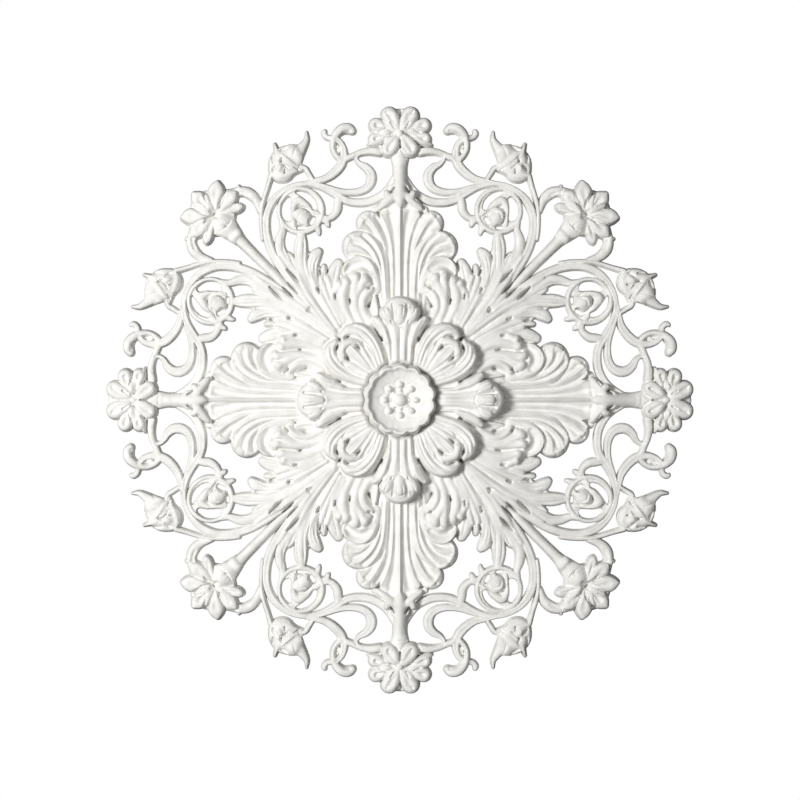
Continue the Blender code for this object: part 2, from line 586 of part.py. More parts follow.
def carve_rosette(relief):
    """Carve the dished rosette with its scalloped rim, petals, beads and boss."""
    relief.member(((0, 0, ROSETTE_RADIUS, ROSETTE_HEIGHT),), **ROSETTE_WALL)
    for middle in SCALLOP_ANGLES:
        arc = [radians(middle + turn) for turn in (-RIM_SPREAD, 0, RIM_SPREAD)]
        relief.member([(RIM_RADIUS * cos(a), RIM_RADIUS * sin(a), *SCALLOP) for a in arc], **RIM_SCALLOP)
    radius = np.hypot(relief.x, relief.y)
    relief.height -= DISH_DEPTH * np.clip(1 - (radius / DISH_RADIUS) ** 2, 0, 1) ** DISH_SHAPE
    for angle in map(radians, BEAD_ANGLES):
        across, up = cos(angle), sin(angle)
        relief.rib(((PETAL_RING_RADIUS * across, PETAL_RING_RADIUS * up, *ROSETTE_PETAL),))
        relief.rib(((BEAD_RING_RADIUS * across, BEAD_RING_RADIUS * up, *BEAD),))
    pit = radians(PIT_ANGLE)
    relief.groove(((PIT_RING_RADIUS * cos(pit), PIT_RING_RADIUS * sin(pit), *PIT),))
    relief.member(BOSS, **MIDDLE_BOSS)


def carved_heights(x, y):
    """Return the height of the carved face at points of the drawing, folded into the carved eighth."""
    across, along = np.abs(x), np.abs(y)
    relief = Relief(np.minimum(across, along), np.maximum(across, along))
    carve_scrolls(relief)
    carve_spiral(relief)
    carve_stem_and_flower(relief)
    carve_middle_lobe(relief)
    carve_corner_leaf(relief)
    carve_corner_flower(relief)
    carve_large_leaf(relief)
    carve_inner_tier(relief)
    carve_rosette(relief)
    return relief.height


def add_eighth():
    """Return an object that holds one carved eighth as an open sheet, still in drawing units."""
    columns = int((FAR_X + GRID_MARGIN) / GRID_STEP)
    rows = int((FAR_Y + GRID_MARGIN) / GRID_STEP)
    bpy.ops.mesh.primitive_grid_add(x_subdivisions=columns, y_subdivisions=rows, size=1)
    eighth = bpy.context.object
    size = Vector((columns * GRID_STEP, rows * GRID_STEP, 1))
    place = Matrix.Translation((size.x / 2 - GRID_MARGIN, size.y / 2 - GRID_MARGIN, 0))
    eighth.data.transform(place @ Matrix.Diagonal((*size, 1)))
    bm = bmesh.new()
    bm.from_mesh(eighth.data)
    beyond = [v for v in bm.verts if v.co.y < v.co.x - GRID_MARGIN]
    bmesh.ops.delete(bm, geom=beyond, context="VERTS")
    points = np.array([v.co[:2] for v in bm.verts])
    for vert, height in zip(bm.verts, carved_heights(points[:, 0], points[:, 1])):
        vert.co.z = height
    bmesh.ops.triangulate(bm, faces=bm.faces[:])
    for normal in ((0, 0, -1), (-1, 0, 0), (1, -1, 0)):
        bmesh.ops.bisect_plane(
            bm, geom=bm.verts[:] + bm.edges[:] + bm.faces[:], dist=1e-5,
            plane_co=(0, 0, 0), plane_no=normal, clear_outer=True,
        )
    bmesh.ops.triangulate(bm, faces=bm.faces[:])
    bm.to_mesh(eighth.data)
    bm.free()
    return eighth


def thin_out(obj, faces):
    """Reduce a mesh to about the given number of faces, which keeps them where the carving turns."""
    thinner = obj.modifiers.new("thin out", "DECIMATE")
    thinner.ratio = faces / len(obj.data.polygons)
    bpy.context.view_layer.objects.active = obj
    bpy.ops.object.modifier_apply(modifier=thinner.name)


def settle_edges(obj):
    """Put the open edges of the eighth exactly into the back and into the two mirror planes."""
    bm = bmesh.new()
    bm.from_mesh(obj.data)
    edge_verts = [v for v in bm.verts if v.is_boundary]
    middle = min(edge_verts, key=lambda v: v.co.xy.length)
    for vert in edge_verts:
        x, y, z = vert.co
        if z < SEAM:
            z = 0.0
        off_diagonal = abs(y - x) / sqrt(2)
        if vert == middle:
            x = y = 0.0
        elif abs(x) < min(SEAM, off_diagonal):
            x = 0.0
        elif off_diagonal < SEAM:
            x = y = (x + y) / 2
        vert.co = (x, y, z)
    flat = [
        face for face in bm.faces
        if all(v.co.z == 0 for v in face.verts)
        or all(v.co.x == 0 for v in face.verts)
        or all(v.co.x == v.co.y for v in face.verts)
    ]
    bmesh.ops.delete(bm, geom=flat, context="FACES")
    bmesh.ops.delete(bm, geom=[e for e in bm.edges if e.is_wire], context="EDGES")
    bm.to_mesh(obj.data)
    bm.free()


def mirror_round(obj):
    """Mirror the eighth in the diagonal and then in both axes, joining the halves at each seam."""
    guide = bpy.data.objects.new("diagonal", None)
    bpy.context.collection.objects.link(guide)
    guide.rotation_euler.z = radians(-45)
    obj.data.transform(Matrix.Scale(UNIT, 4))
    across = obj.modifiers.new("diagonal", "MIRROR")
    across.mirror_object = guide
    across.merge_threshold = MERGE
    quarter = obj.modifiers.new("axes", "MIRROR")
    quarter.use_axis = (True, True, False)
    quarter.merge_threshold = MERGE
    bpy.context.view_layer.update()
    for modifier in (across, quarter):
        bpy.ops.object.modifier_apply(modifier=modifier.name)
    bpy.data.objects.remove(guide, do_unlink=True)


def enclosed_faces(places, lines):
    """Return the triangles between lines in a plane that lie inside the outline and outside the openings."""
    found = delaunay_2d_cdt([Vector(place) for place in places], lines, [], ENCLOSED, NO_DISTANCE)
    sources = found[3]
    faces = [[sources[corner][0] for corner in face] for face in found[2]]
    start, end = (places[[line[side] for line in lines]] for side in (0, 1))
    kept = []
    for face in faces:
        x, y = places[face].mean(axis=0)
        crossed = np.nonzero((start[:, 1] > y) != (end[:, 1] > y))[0]
        a, b = start[crossed], end[crossed]
        beyond = a[:, 0] + (b[:, 0] - a[:, 0]) * (y - a[:, 1]) / (b[:, 1] - a[:, 1]) > x
        if beyond.sum() % 2:
            kept.append(face)
    return kept


def close_and_hang(obj):
    """Close the sheet with a flat back and turn it over, so that the face looks down."""
    bm = bmesh.new()
    bm.from_mesh(obj.data)
    rim = [e for e in bm.edges if e.is_boundary]
    verts = list(dict.fromkeys(v for e in rim for v in e.verts))
    number = {v: i for i, v in enumerate(verts)}
    lines = [(number[e.verts[0]], number[e.verts[1]]) for e in rim]
    for face in enclosed_faces(np.array([v.co[:2] for v in verts]), lines):
        bm.faces.new([verts[corner] for corner in face])
    bmesh.ops.rotate(bm, verts=bm.verts, cent=(0, 0, 0), matrix=Matrix.Rotation(radians(180), 3, "X"))
    bmesh.ops.recalc_face_normals(bm, faces=bm.faces[:])
    bm.to_mesh(obj.data)
    bm.free()


def plaster():
    """Return the material of the casting."""
    material = bpy.data.materials.new("plaster")
    material.use_nodes = True
    shader = material.node_tree.nodes["Principled BSDF"]
    shader.inputs["Base Color"].default_value = PLASTER_COLOUR
    shader.inputs["Roughness"].default_value = PLASTER_ROUGHNESS
    shader.inputs["Metallic"].default_value = 0.0
    return material


def build_rose(collection):
    """Build the casting and put it in the collection."""
    rose = add_eighth()
    thin_out(rose, FACES_OF_EIGHTH)
    settle_edges(rose)
    mirror_round(rose)
    close_and_hang(rose)
    rose.name = rose.data.name = "rose"
    rose.data.materials.append(plaster())
    rose.data.shade_smooth()
    for other in list(rose.users_collection):
        other.objects.unlink(rose)
    collection.objects.link(rose)


def main():
    """Build the object in a collection of its own."""
    remove_scene_objects()
    collection = bpy.data.collections.new("ceiling_rose")
    bpy.context.scene.collection.children.link(collection)
    build_rose(collection)


if __name__ == "__main__":
    main()
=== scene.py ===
"""Ceiling rose of cast gypsum plaster: the finely carved visual model that stands for the plain solid.

The rose hangs from a ceiling: its flat back lies in the plane z = 0 and its carved face looks down
along -Z. The carving is drawn in drawing units, DRAWING_WIDTH of them across the rose. In the drawing
y runs along the axis of a large leaf, x across it, and heights are measured from the back. The
ornament repeats eight times about the middle, and the rosette has fourteen petals, so one quarter is
carved, mirrored in both axes, closed with a flat back and turned over.
"""

import logging
from dataclasses import dataclass
from enum import Enum
from math import cos, hypot, pi, radians, sin

import bmesh
import bpy
import numpy as np
from mathutils import Matrix, Vector
from mathutils.geometry import delaunay_2d_cdt

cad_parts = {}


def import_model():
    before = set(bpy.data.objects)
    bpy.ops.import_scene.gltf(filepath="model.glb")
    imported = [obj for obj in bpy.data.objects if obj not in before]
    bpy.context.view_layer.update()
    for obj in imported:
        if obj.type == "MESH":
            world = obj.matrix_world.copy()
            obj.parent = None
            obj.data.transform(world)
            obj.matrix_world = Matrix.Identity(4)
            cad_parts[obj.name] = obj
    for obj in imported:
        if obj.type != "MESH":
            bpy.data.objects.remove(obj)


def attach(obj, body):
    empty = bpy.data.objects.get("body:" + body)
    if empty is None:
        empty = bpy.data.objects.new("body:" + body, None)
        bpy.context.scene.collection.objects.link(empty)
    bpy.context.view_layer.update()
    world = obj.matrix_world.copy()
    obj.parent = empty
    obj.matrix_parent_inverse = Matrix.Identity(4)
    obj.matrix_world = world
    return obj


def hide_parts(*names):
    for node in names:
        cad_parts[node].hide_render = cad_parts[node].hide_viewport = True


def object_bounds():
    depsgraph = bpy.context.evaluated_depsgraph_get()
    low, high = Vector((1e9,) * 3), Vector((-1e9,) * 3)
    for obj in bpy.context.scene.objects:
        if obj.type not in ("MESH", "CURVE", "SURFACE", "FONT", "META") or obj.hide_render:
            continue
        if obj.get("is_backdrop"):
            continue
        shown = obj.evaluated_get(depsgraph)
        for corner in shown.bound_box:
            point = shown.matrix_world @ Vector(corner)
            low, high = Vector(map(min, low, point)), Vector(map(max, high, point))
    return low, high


LOG = logging.getLogger("ceiling_rose")

Station = tuple[float, ...]
Stations = tuple[Station, ...]
Colour = tuple[float, float, float, float]

# Sizes in drawing units: the rose's width, how steep a member's side is, how round its shoulder is,
# the height where there is no casting, and what a groove leaves at least
DRAWING_WIDTH = 586.0
SIDE_SLOPE = 6.0
SHOULDER = 1.5
OUTSIDE = -30.0
LEAST_FLOOR = 3.0

# How far beyond a stroke's edge it still shapes the face, and how narrow a stroke may be
SIDE_REACH = 5.0
LINE_REACH = 0.5
LEAST_WIDTH = 0.05

# A swell ends at this share of its half width, and needs this much casting under it
SWELL_END = 1.6
SWELL_FLOOR = 1.0

# How sharply a shadow line deepens towards the edge that casts it
SHADOW_POWER = 1.5

# How round the upper edge of an opening is
OPENING_ROUND = 0.5

# A round spot is a stroke this short
PIT_LENGTH = 0.01
FLOOR_LENGTH = 0.1

# A petal's root and waist as shares of the way out and of its full half width, and its tip
PETAL_ROOT = (0.24, 0.6)
PETAL_WAIST = (0.6, 0.95)
PETAL_ROOT_HEIGHT = 16.0
PETAL_WAIST_RISE = 0.6
POINT_NARROWING = 0.65
POINT_DROP = 2.0

# A petal's hollow in shares of the way out, of the petal's half width and of the hollow's depth
PETAL_HOLLOW = ((0.5, 0.24, 0.4), (0.82, 0.4, 1.0), (0.98, 0.46, 0.8))

# How far inside a stroke a place counts as lying before it is measured, and a length next to none
FAR_OUTSIDE = -1e9
NO_DISTANCE = 1e-9

# How the flat back is filled: the triangles that the given lines enclose
ENCLOSED = 1

MM_PER_METRE = 1000.0

WHITE: Colour = (1.0, 1.0, 1.0, 1.0)


class Cut(Enum):
    """How a stroke shapes the model that the casting is moulded from."""

    BAR = "stands on the back with steep sides"
    LAYER = "lies over what is there, with a shadow line along its edge"
    SWELL = "rises softly, with no side of its own"
    RIDGE = "raises a thin line"
    GROOVE = "hollows a line, never through the casting"
    OPENING = "goes right through the casting"


@dataclass(frozen=True)
class Stroke:
    """One stroke of the carving: a row of stations and how it cuts.

    Attributes:
        cut: How it shapes the model.
        path: Its stations, each x, y, half width and height, or depth for a hollow.
        fall: How far its top falls from the crest to the edge.
        foot: The height that its sides start from.
        gap: How deep the shadow line along its edge is.
        reach: How wide the shadow line is.
        power: How flat its top is before it falls.
        blend: How softly it meets what is there.
    """

    cut: Cut
    path: Stations
    fall: float = 3.0
    foot: float = 0.0
    gap: float = 0.0
    reach: float = 2.0
    power: float = 2.0
    blend: float = 0.8


def smooth_path(stations: Stations, steps: int = 8) -> np.ndarray:
    """Draw a smooth curve through stations, with width and height carried along.

    Args:
        stations: Rows of x, y, half width and, where it matters, height.
        steps: Points to each span.

    Returns:
        One row of x, y, half width and height for each point.
    """
    rows = np.array([tuple(row) + (0.0,) * (4 - len(row)) for row in stations], float)
    if len(rows) == 1:
        rows = np.vstack([rows, rows + (PIT_LENGTH, 0.0, 0.0, 0.0)])
    if len(rows) == 2:
        return rows
    ends = np.vstack([2 * rows[0] - rows[1], rows, 2 * rows[-1] - rows[-2]])
    t = (np.arange(steps) / steps)[:, None]
    spans = []
    for a, b, c, d in zip(ends, ends[1:], ends[2:], ends[3:]):
        line = 2 * b + (c - a) * t
        bend = (2 * a - 5 * b + 4 * c - d) * t**2 + (3 * b - a - 3 * c + d) * t**3
        spans.append((line + bend) / 2)
    return np.vstack(spans + [rows[-1:]])


def smooth_larger(a: np.ndarray, b: np.ndarray, blend: float) -> np.ndarray:
    """Return the larger of two heights, rounded where they meet."""
    near = np.clip(blend - np.abs(a - b), 0, None) / blend
    return np.maximum(a, b) + near * near * blend / 4


def smooth_smaller(a: np.ndarray, b: np.ndarray, blend: float) -> np.ndarray:
    """Return the smaller of two heights, rounded where they meet."""
    return -smooth_larger(-a, -b, blend)


def mirrored(stations: Stations) -> Stations:
    """Return stations mirrored in the diagonal of the drawing."""
    return tuple((y, x, *rest) for x, y, *rest in stations)


class Relief:
    """Heights of the carved face at a set of points, built up stroke by stroke."""

    def __init__(self, x: np.ndarray, y: np.ndarray) -> None:
        """Start with no casting at any of the points.

        Args:
            x: Places across the drawing.
            y: Places along it.
        """
        self.x = x
        self.y = y
        self.height = np.full(x.shape, OUTSIDE)

    def measure(self, stations: Stations, reach: float) -> tuple[np.ndarray, ...]:
        """Measure where the points lie beside a stroke.

        Args:
            stations: The stroke's stations.
            reach: How far beyond the stroke's edge points still count.

        Returns:
            The points near the stroke, how far inside its edge each lies, the height of its crest
            there, and how far across it each lies as a share of its half width.
        """
        path = smooth_path(stations)
        widths = np.maximum(path[:, 2], LEAST_WIDTH)
        pad = widths.max() + reach
        near = np.nonzero(
            (self.x > path[:, 0].min() - pad) & (self.x < path[:, 0].max() + pad)
            & (self.y > path[:, 1].min() - pad) & (self.y < path[:, 1].max() + pad)
        )[0]
        x, y = self.x[near], self.y[near]
        inside = np.full(len(near), FAR_OUTSIDE)
        crest = np.zeros(len(near))
        share = np.zeros(len(near))
        for start, end, width, next_width in zip(path, path[1:], widths, widths[1:]):
            run = end[:2] - start[:2]
            along = ((x - start[0]) * run[0] + (y - start[1]) * run[1]) / (run @ run + NO_DISTANCE)
            along = np.clip(along, 0, 1)
            away = np.hypot(x - start[0] - along * run[0], y - start[1] - along * run[1])
            local = width * (1 - along) + next_width * along
            better = local - away > inside
            inside[better] = (local - away)[better]
            crest[better] = (start[3] * (1 - along) + end[3] * along)[better]
            share[better] = (away / local)[better]
        return near, inside, crest, share

    def carve(self, stroke: Stroke) -> None:
        """Make one stroke.

        Args:
            stroke: The stroke to cut into the face.
        """
        if stroke.cut in (Cut.BAR, Cut.LAYER):
            self._stand(stroke)
        elif stroke.cut is Cut.SWELL:
            self._swell(stroke)
        elif stroke.cut is Cut.OPENING:
            self._open(stroke)
        else:
            self._line(stroke)

    def _stand(self, stroke: Stroke) -> None:
        """Add a body with steep sides.

        Args:
            stroke: The body, whose sides start at the stroke's foot.
        """
        near, inside, crest, share = self.measure(stroke.path, SIDE_REACH)
        top = crest - stroke.fall * np.clip(share, 0, 1) ** stroke.power
        new = smooth_smaller(stroke.foot + SIDE_SLOPE * inside, top, SHOULDER)
        old = self.height[near]
        if stroke.gap:
            lowered = old - stroke.gap * np.clip(1 + inside / stroke.reach, 0, 1) ** SHADOW_POWER
            old = np.maximum(lowered, np.minimum(old, LEAST_FLOOR))
        self.height[near] = smooth_larger(old, new, stroke.blend)

    def _swell(self, stroke: Stroke) -> None:
        """Add a soft ridge to the casting that is there.

        Args:
            stroke: The ridge.
        """
        near, _, crest, share = self.measure(stroke.path, SIDE_REACH)
        top = np.where(share < SWELL_END, crest - stroke.fall * share**2, OUTSIDE)
        old = self.height[near]
        joined = smooth_larger(old, top, stroke.blend)
        self.height[near] = np.where(old > SWELL_FLOOR, joined, old)

    def _line(self, stroke: Stroke) -> None:
        """Raise or hollow a rounded line.

        Args:
            stroke: The line, where a station's height is how far it is raised or hollowed.
        """
        near, _, depth, share = self.measure(stroke.path, LINE_REACH)
        amount = depth * (1 - np.clip(share, 0, 1) ** 2) ** 2
        old = self.height[near]
        if stroke.cut is Cut.RIDGE:
            self.height[near] = np.where(old > LEAST_FLOOR, old + amount, old)
            return
        hollowed = np.maximum(old - amount, np.minimum(old, LEAST_FLOOR))
        self.height[near] = np.where(old > LEAST_FLOOR, hollowed, old)

    def _open(self, stroke: Stroke) -> None:
        """Cut right through the casting."""
        near, inside, _, _ = self.measure(stroke.path, SIDE_REACH)
        self.height[near] = smooth_smaller(self.height[near], -SIDE_SLOPE * inside, OPENING_ROUND)


def bars(*paths: Stations, **shape: float) -> list[Stroke]:
    """Return strokes that stand on the back."""
    return [Stroke(Cut.BAR, path, **shape) for path in paths]


def layers(*paths: Stations, **shape: float) -> list[Stroke]:
    """Return strokes that lie over what is there."""
    return [Stroke(Cut.LAYER, path, **shape) for path in paths]


def swells(*paths: Stations, **shape: float) -> list[Stroke]:
    """Return soft ridges."""
    return [Stroke(Cut.SWELL, path, **{"fall": 4.0, "blend": 1.5, **shape}) for path in paths]


def ridges(*paths: Stations) -> list[Stroke]:
    """Return thin raised lines."""
    return [Stroke(Cut.RIDGE, path) for path in paths]


def grooves(*paths: Stations) -> list[Stroke]:
    """Return hollowed lines and pits."""
    return [Stroke(Cut.GROOVE, path) for path in paths]


def openings(*paths: Stations) -> list[Stroke]:
    """Return holes through the casting."""
    return [Stroke(Cut.OPENING, path) for path in paths]


def channel(stations: Stations, depth: float = 1.1, share: float = 0.5) -> Stations:
    """Return the shallow channel that runs along the middle of a strap.

    Args:
        stations: The strap's stations.
        depth: How deep the channel is.
        share: The channel's width as a share of the strap's.

    Returns:
        The channel's stations.
    """
    return tuple((x, y, share * width, depth) for x, y, width, _ in stations)


class Ornament:
    """A part of the carving that is made of strokes, in the order that they are cut."""

    def strokes(self) -> list[Stroke]:
        """Return the ornament's strokes."""
        raise NotImplementedError

    def carve(self, relief: Relief) -> None:
        """Cut the ornament's strokes into the relief."""
        for stroke in self.strokes():
            relief.carve(stroke)


@dataclass
class Scrollwork(Ornament):
    """The outer straps: a long strap over the spiral, a C scroll and the stalks that spring from it."""

    strap: Stations = (
        (4, 224, 3.5, 9), (11, 211.5, 4.4, 9), (19, 203.6, 4.6, 9), (30, 198.2, 4.8, 9),
        (42, 196.8, 4.6, 9), (52, 198.3, 4.4, 9), (61, 203, 4.4, 9), (70, 208.5, 4.2, 9),
        (80, 213, 3.8, 9.5), (93, 215.3, 3.4, 10), (106, 213.2, 3.6, 10), (118, 206.8, 4, 10),
        (127, 197.5, 4.6, 10), (132.3, 185, 4.6, 10), (133.4, 172, 4.8, 10), (131, 158, 5, 10.5),
        (125.5, 144, 5, 11.5), (117, 130, 5, 13), (107, 115, 5, 14),
    )
    spiral_arc: Stations = (
        (60, 204, 4, 9), (61.6, 196, 4.8, 9), (62.6, 189, 4.8, 9), (67.5, 182.6, 4, 8.5),
        (76, 179, 3.4, 8.5),
    )
    barbs: tuple[Stations, ...] = (
        ((74, 181, 4, 8.5), (72, 175.5, 3.2, 8), (70.8, 173.6, 2, 7)),
        ((83, 173, 4.4, 8.5), (80.8, 168, 3, 8), (80.4, 165.6, 2.2, 7)),
    )
    c_scroll: Stations = (
        (43.2, 244, 3, 8), (43.4, 239.6, 2.7, 8), (40, 235.4, 3.3, 8), (33.8, 232, 4.5, 8.5),
        (29, 226, 5.3, 9), (28.6, 218.5, 5.5, 9), (33, 211.4, 4.8, 9), (41.5, 207.6, 4.3, 9),
        (52, 207, 3.8, 9), (62, 208.6, 3.6, 9), (72, 212, 3.2, 9.5), (84, 215.5, 2.8, 10),
    )
    flower_branch: Stations = (
        (20, 247, 5, 12), (29, 248, 4.6, 11), (38, 246.8, 4, 9.5), (46, 243.6, 3.8, 9),
        (54, 240.5, 4, 9),
    )
    curl_stalk: Stations = (
        (94, 216.5, 2.6, 10), (84, 218.3, 3.6, 9.6), (74.5, 220.6, 4.4, 9), (66, 226, 5, 9),
        (59.4, 233, 5.2, 9), (56, 241, 4.8, 9), (55.8, 248.5, 4, 9), (58.4, 255.5, 3.6, 10),
        (64, 260.4, 4, 11),
    )
    curl_leaf: Stations = (
        (57, 238, 3.5, 8.8), (63.2, 243.2, 3.4, 9), (66.6, 250, 3.4, 9.5), (66.4, 257, 4, 11),
        (63.5, 264.6, 5, 12.5), (58, 269.8, 5.8, 13.5), (51.6, 270.6, 6, 12.6), (47.4, 268.4, 4.6, 11),
    )
    curl_eye: Stations = ((58, 252, 3, 6), (62, 248, 3, 6))
    curl_ball: Stations = (
        (67.5, 260.5, 3.4, 9), (73, 262, 3.4, 8.5), (75.6, 265.4, 3.4, 8.5), (75, 267.6, 3, 8.5),
    )
    bud_tendril: Stations = (
        (87, 220, 2.8, 9), (91, 226, 3.2, 9), (94.4, 231, 3.2, 9.5), (101, 232.4, 3, 10.5),
    )
    bud_stem: Stations = (
        (136.6, 160, 2.6, 10), (138, 172, 2.7, 10), (138, 184, 2.8, 10), (136.9, 194, 2.9, 10),
        (134.6, 203, 3.1, 10), (131.4, 213, 3.2, 10), (128.6, 223, 3.6, 12),
    )
    hook_leaf: Stations = (
        (139.4, 188, 3.2, 9), (143, 199, 5, 9.5), (149.5, 205.6, 6, 11), (157, 208, 5.6, 12),
        (165, 206, 6, 13), (173, 203, 7, 14),
    )
    hook_barb: Stations = ((160, 210, 3.4, 11), (160.6, 213, 2.4, 10))
    curl_hollow: Stations = ((56, 266, 2.6, 2), (50, 267.4, 2.8, 2.6))
    hook_hollow: Stations = ((150, 204, 2.4, 1.6), (158, 206.4, 2.6, 2), (166, 204, 2.4, 1.6))

    def strokes(self) -> list[Stroke]:
        """Draw the straps, from the long strap to the hooked leaf.

        Returns:
            The strokes, in the order that they are cut.
        """
        return [
            *bars(self.strap, fall=3.2),
            *bars(self.spiral_arc, fall=2.8),
            *bars(*self.barbs, fall=2),
            *bars(self.c_scroll, fall=3.2),
            *bars(self.flower_branch),
            *bars(self.curl_stalk, fall=3.2),
            *bars(self.curl_leaf, fall=4),
            *bars(self.curl_eye, fall=1),
            *bars(self.curl_ball, fall=2),
            *bars(self.bud_tendril, self.bud_stem, fall=2.6),
            *bars(self.hook_leaf, fall=4),
            *bars(self.hook_barb, fall=2),
            *grooves(channel(self.strap), channel(self.c_scroll), channel(self.curl_stalk)),
            *grooves(self.curl_hollow, self.hook_hollow),
        ]


@dataclass
class OuterBud(Ornament):
    """The horned bud on the outer strap."""

    horns: tuple[Stations, ...] = (
        ((93, 267, 1.9, 9), (93, 259.5, 3.6, 10), (98, 251, 5.8, 12), (104, 243, 8, 14)),
        ((124.8, 255, 2.3, 10), (123, 249.6, 3.4, 13), (120.6, 243, 5, 15.4)),
    )
    body: Stations = ((107, 243.5, 11.5, 14.4), (114.4, 237, 16.2, 15.6), (117.4, 230, 14.4, 15))
    cheek: Stations = ((101, 240, 5, 15), (106, 246, 6, 16.4))
    collar: Stations = (
        (97.6, 230, 3, 9), (105, 227, 3.4, 12.6), (112, 223.4, 3.8, 14), (120, 221.6, 3.8, 14),
        (127.5, 223.5, 3.4, 12),
    )
    lip: Stations = (
        (117.4, 243.6, 1.5, 1.2), (113, 239.6, 2.2, 2.4), (108, 236, 2, 2), (104, 233.6, 1.2, 0.8),
    )
    boss: Stations = ((118.8, 231.4, 3, 18), (119.8, 229.4, 3, 17.6))
    folds: tuple[Stations, ...] = (
        ((98.4, 227.6, 1.2, 1.4), (101.4, 229, 1.7, 3.4), (105, 231.2, 1.2, 2)),
        ((111.6, 251.4, 1.4, 1.2), (115, 249, 2.2, 3.6), (118.2, 248, 1.6, 3)),
        ((117.6, 240, 1.4, 4), (118.2, 237, 2.2, 8), (117.4, 235, 1.6, 6), (113, 231.8, 1.5, 4),
         (110, 229.6, 1, 1)),
        ((125.4, 248, 1.2, 2), (126.6, 242, 2, 4), (126, 236, 1.6, 3)),
        ((122.6, 233.4, 1.2, 2), (125.6, 229.4, 2, 5), (126.2, 226.4, 1.2, 2)),
        ((114.2, 229, 1, 3), (114.6, 225.6, 1.5, 5.4)),
        ((101, 252.6, 1.2, 0.6), (104.4, 248, 1.6, 1.4), (105.6, 243, 1.4, 1)),
    )

    def strokes(self) -> list[Stroke]:
        """Draw the bud's horns, body, collar and folds.

        Returns:
            The strokes, in the order that they are cut.
        """
        return [
            *bars(*self.horns, fall=3.5),
            *bars(self.body, fall=5),
            *swells(self.cheek, fall=3),
            *bars(self.collar, fall=2.4, blend=1.2),
            *ridges(self.lip),
            *grooves(*self.folds),
            *swells(self.boss, fall=2.6, blend=0.8),
        ]


@dataclass
class Spiral(Ornament):
    """The open ring of the spiral, with the bud rolled up in it and the holes between."""

    centre: tuple[float, float] = (98.5, 188.6)
    radius: float = 21.7
    ring_width: float = 3.0
    ring_height: float = 9.0
    ring_step: int = 20
    floor: float = 7.0
    hood: Stations = (
        (79, 184, 3.2, 8.6), (86, 188.4, 4.2, 10), (93.4, 194, 5.2, 11.5), (101, 198.4, 5.2, 12),
        (106, 192.6, 4.2, 11.5), (106, 183, 3.8, 10.5), (105.4, 174, 3.2, 9),
    )
    hood_line: Stations = (
        (84, 184, 1.4, 1.4), (92, 190.4, 1.6, 2), (99.6, 191.6, 1.6, 2), (103.6, 186, 1.4, 1.6),
        (103.4, 178, 1.2, 1),
    )
    bud: Stations = ((94.6, 179.6, 8, 13.5), (98.4, 184.4, 7.6, 14.5))
    bud_lines: tuple[Stations, ...] = (
        ((94.6, 187, 1.3, 1.2), (99, 185.4, 1.5, 1.6), (101, 181, 1.3, 1.2)),
    )
    holes: tuple[Stations, ...] = (
        ((78.6, 205.4, 0.7), (73, 200.6, 2.5), (69.6, 194, 2.7), (70.4, 189.6, 2.5),
         (72.4, 188.4, 1.6)),
        ((84.8, 192, 2.2), (87.2, 197.6, 2.7), (93, 203, 2.9), (99, 206, 1.9), (102.6, 206.9, 0.8)),
        ((110.6, 199.6, 2.4), (113.4, 192.6, 4), (113.2, 184.6, 4.2), (111.4, 180.8, 2.6)),
        ((123.4, 192.5, 0.8), (126, 183, 2.1), (125.2, 173, 3.4), (126, 165.6, 1.7)),
        ((96.6, 222.3, 1.5), (101, 222.8, 1.7), (106, 220.8, 0.7)),
        ((86, 180.6, 1.8), (88.4, 176.6, 1.8)),
        ((97.6, 171.6, 1.5), (101, 171.6, 1.5)),
    )

    def ring(self) -> Stations:
        """Lay out the ring.

        Returns:
            Its stations, all the way round.
        """
        x, y = self.centre
        turns = [radians(angle) for angle in range(-90, 271, self.ring_step)]
        places = ((x + self.radius * cos(turn), y + self.radius * sin(turn)) for turn in turns)
        return tuple((*place, self.ring_width, self.ring_height) for place in places)

    def strokes(self) -> list[Stroke]:
        """Draw the ring, the floor in it, the rolled bud and the holes.

        Returns:
            The strokes, in the order that they are cut.
        """
        x, y = self.centre
        floor = ((x, y, self.radius, self.floor), (x + FLOOR_LENGTH, y, self.radius, self.floor))
        return [
            *bars(self.ring(), fall=2.6),
            *bars(floor, fall=0),
            *bars(self.hood),
            *layers(self.bud, fall=5, foot=4, gap=1.5),
            *grooves(self.hood_line, *self.bud_lines),
            *openings(*self.holes),
        ]


def petal(centre: tuple[float, float], end: Station, point: float = 0.0) -> Stations:
    """Return the stations of a petal.

    Args:
        centre: The middle of the flower.
        end: Where the petal is broadest, its half width and its height.
        point: How far its end is drawn out, as a share of its half width. 0 leaves it round.

    Returns:
        The petal's stations, from its narrow root to its end.
    """
    x, y, width, height = end
    run_x, run_y = x - centre[0], y - centre[1]
    beyond = point * width / hypot(run_x, run_y)
    shares = (*PETAL_ROOT, PETAL_ROOT_HEIGHT), (*PETAL_WAIST, height + PETAL_WAIST_RISE)
    inner = tuple(
        (centre[0] + out * run_x, centre[1] + out * run_y, share * width, crest)
        for out, share, crest in shares
    )
    if not point:
        return (*inner, end)
    tip_width = (1 - POINT_NARROWING * point) * width
    tip = (x + beyond * run_x, y + beyond * run_y, tip_width, height - POINT_DROP * point)
    return (*inner, end, tip)


def petal_hollow(centre: tuple[float, float], end: Station, depth: float = 2.6) -> Stations:
    """Return the stations of the hollow along the middle of a petal.

    Args:
        centre: The middle of the flower.
        end: Where the petal is broadest, its half width and its height.
        depth: How deep the hollow is at most.

    Returns:
        The hollow's stations, with its depth as their height.
    """
    x, y, width, _ = end
    run_x, run_y = x - centre[0], y - centre[1]
    return tuple(
        (centre[0] + out * run_x, centre[1] + out * run_y, share * width, part * depth)
        for out, share, part in PETAL_HOLLOW
    )


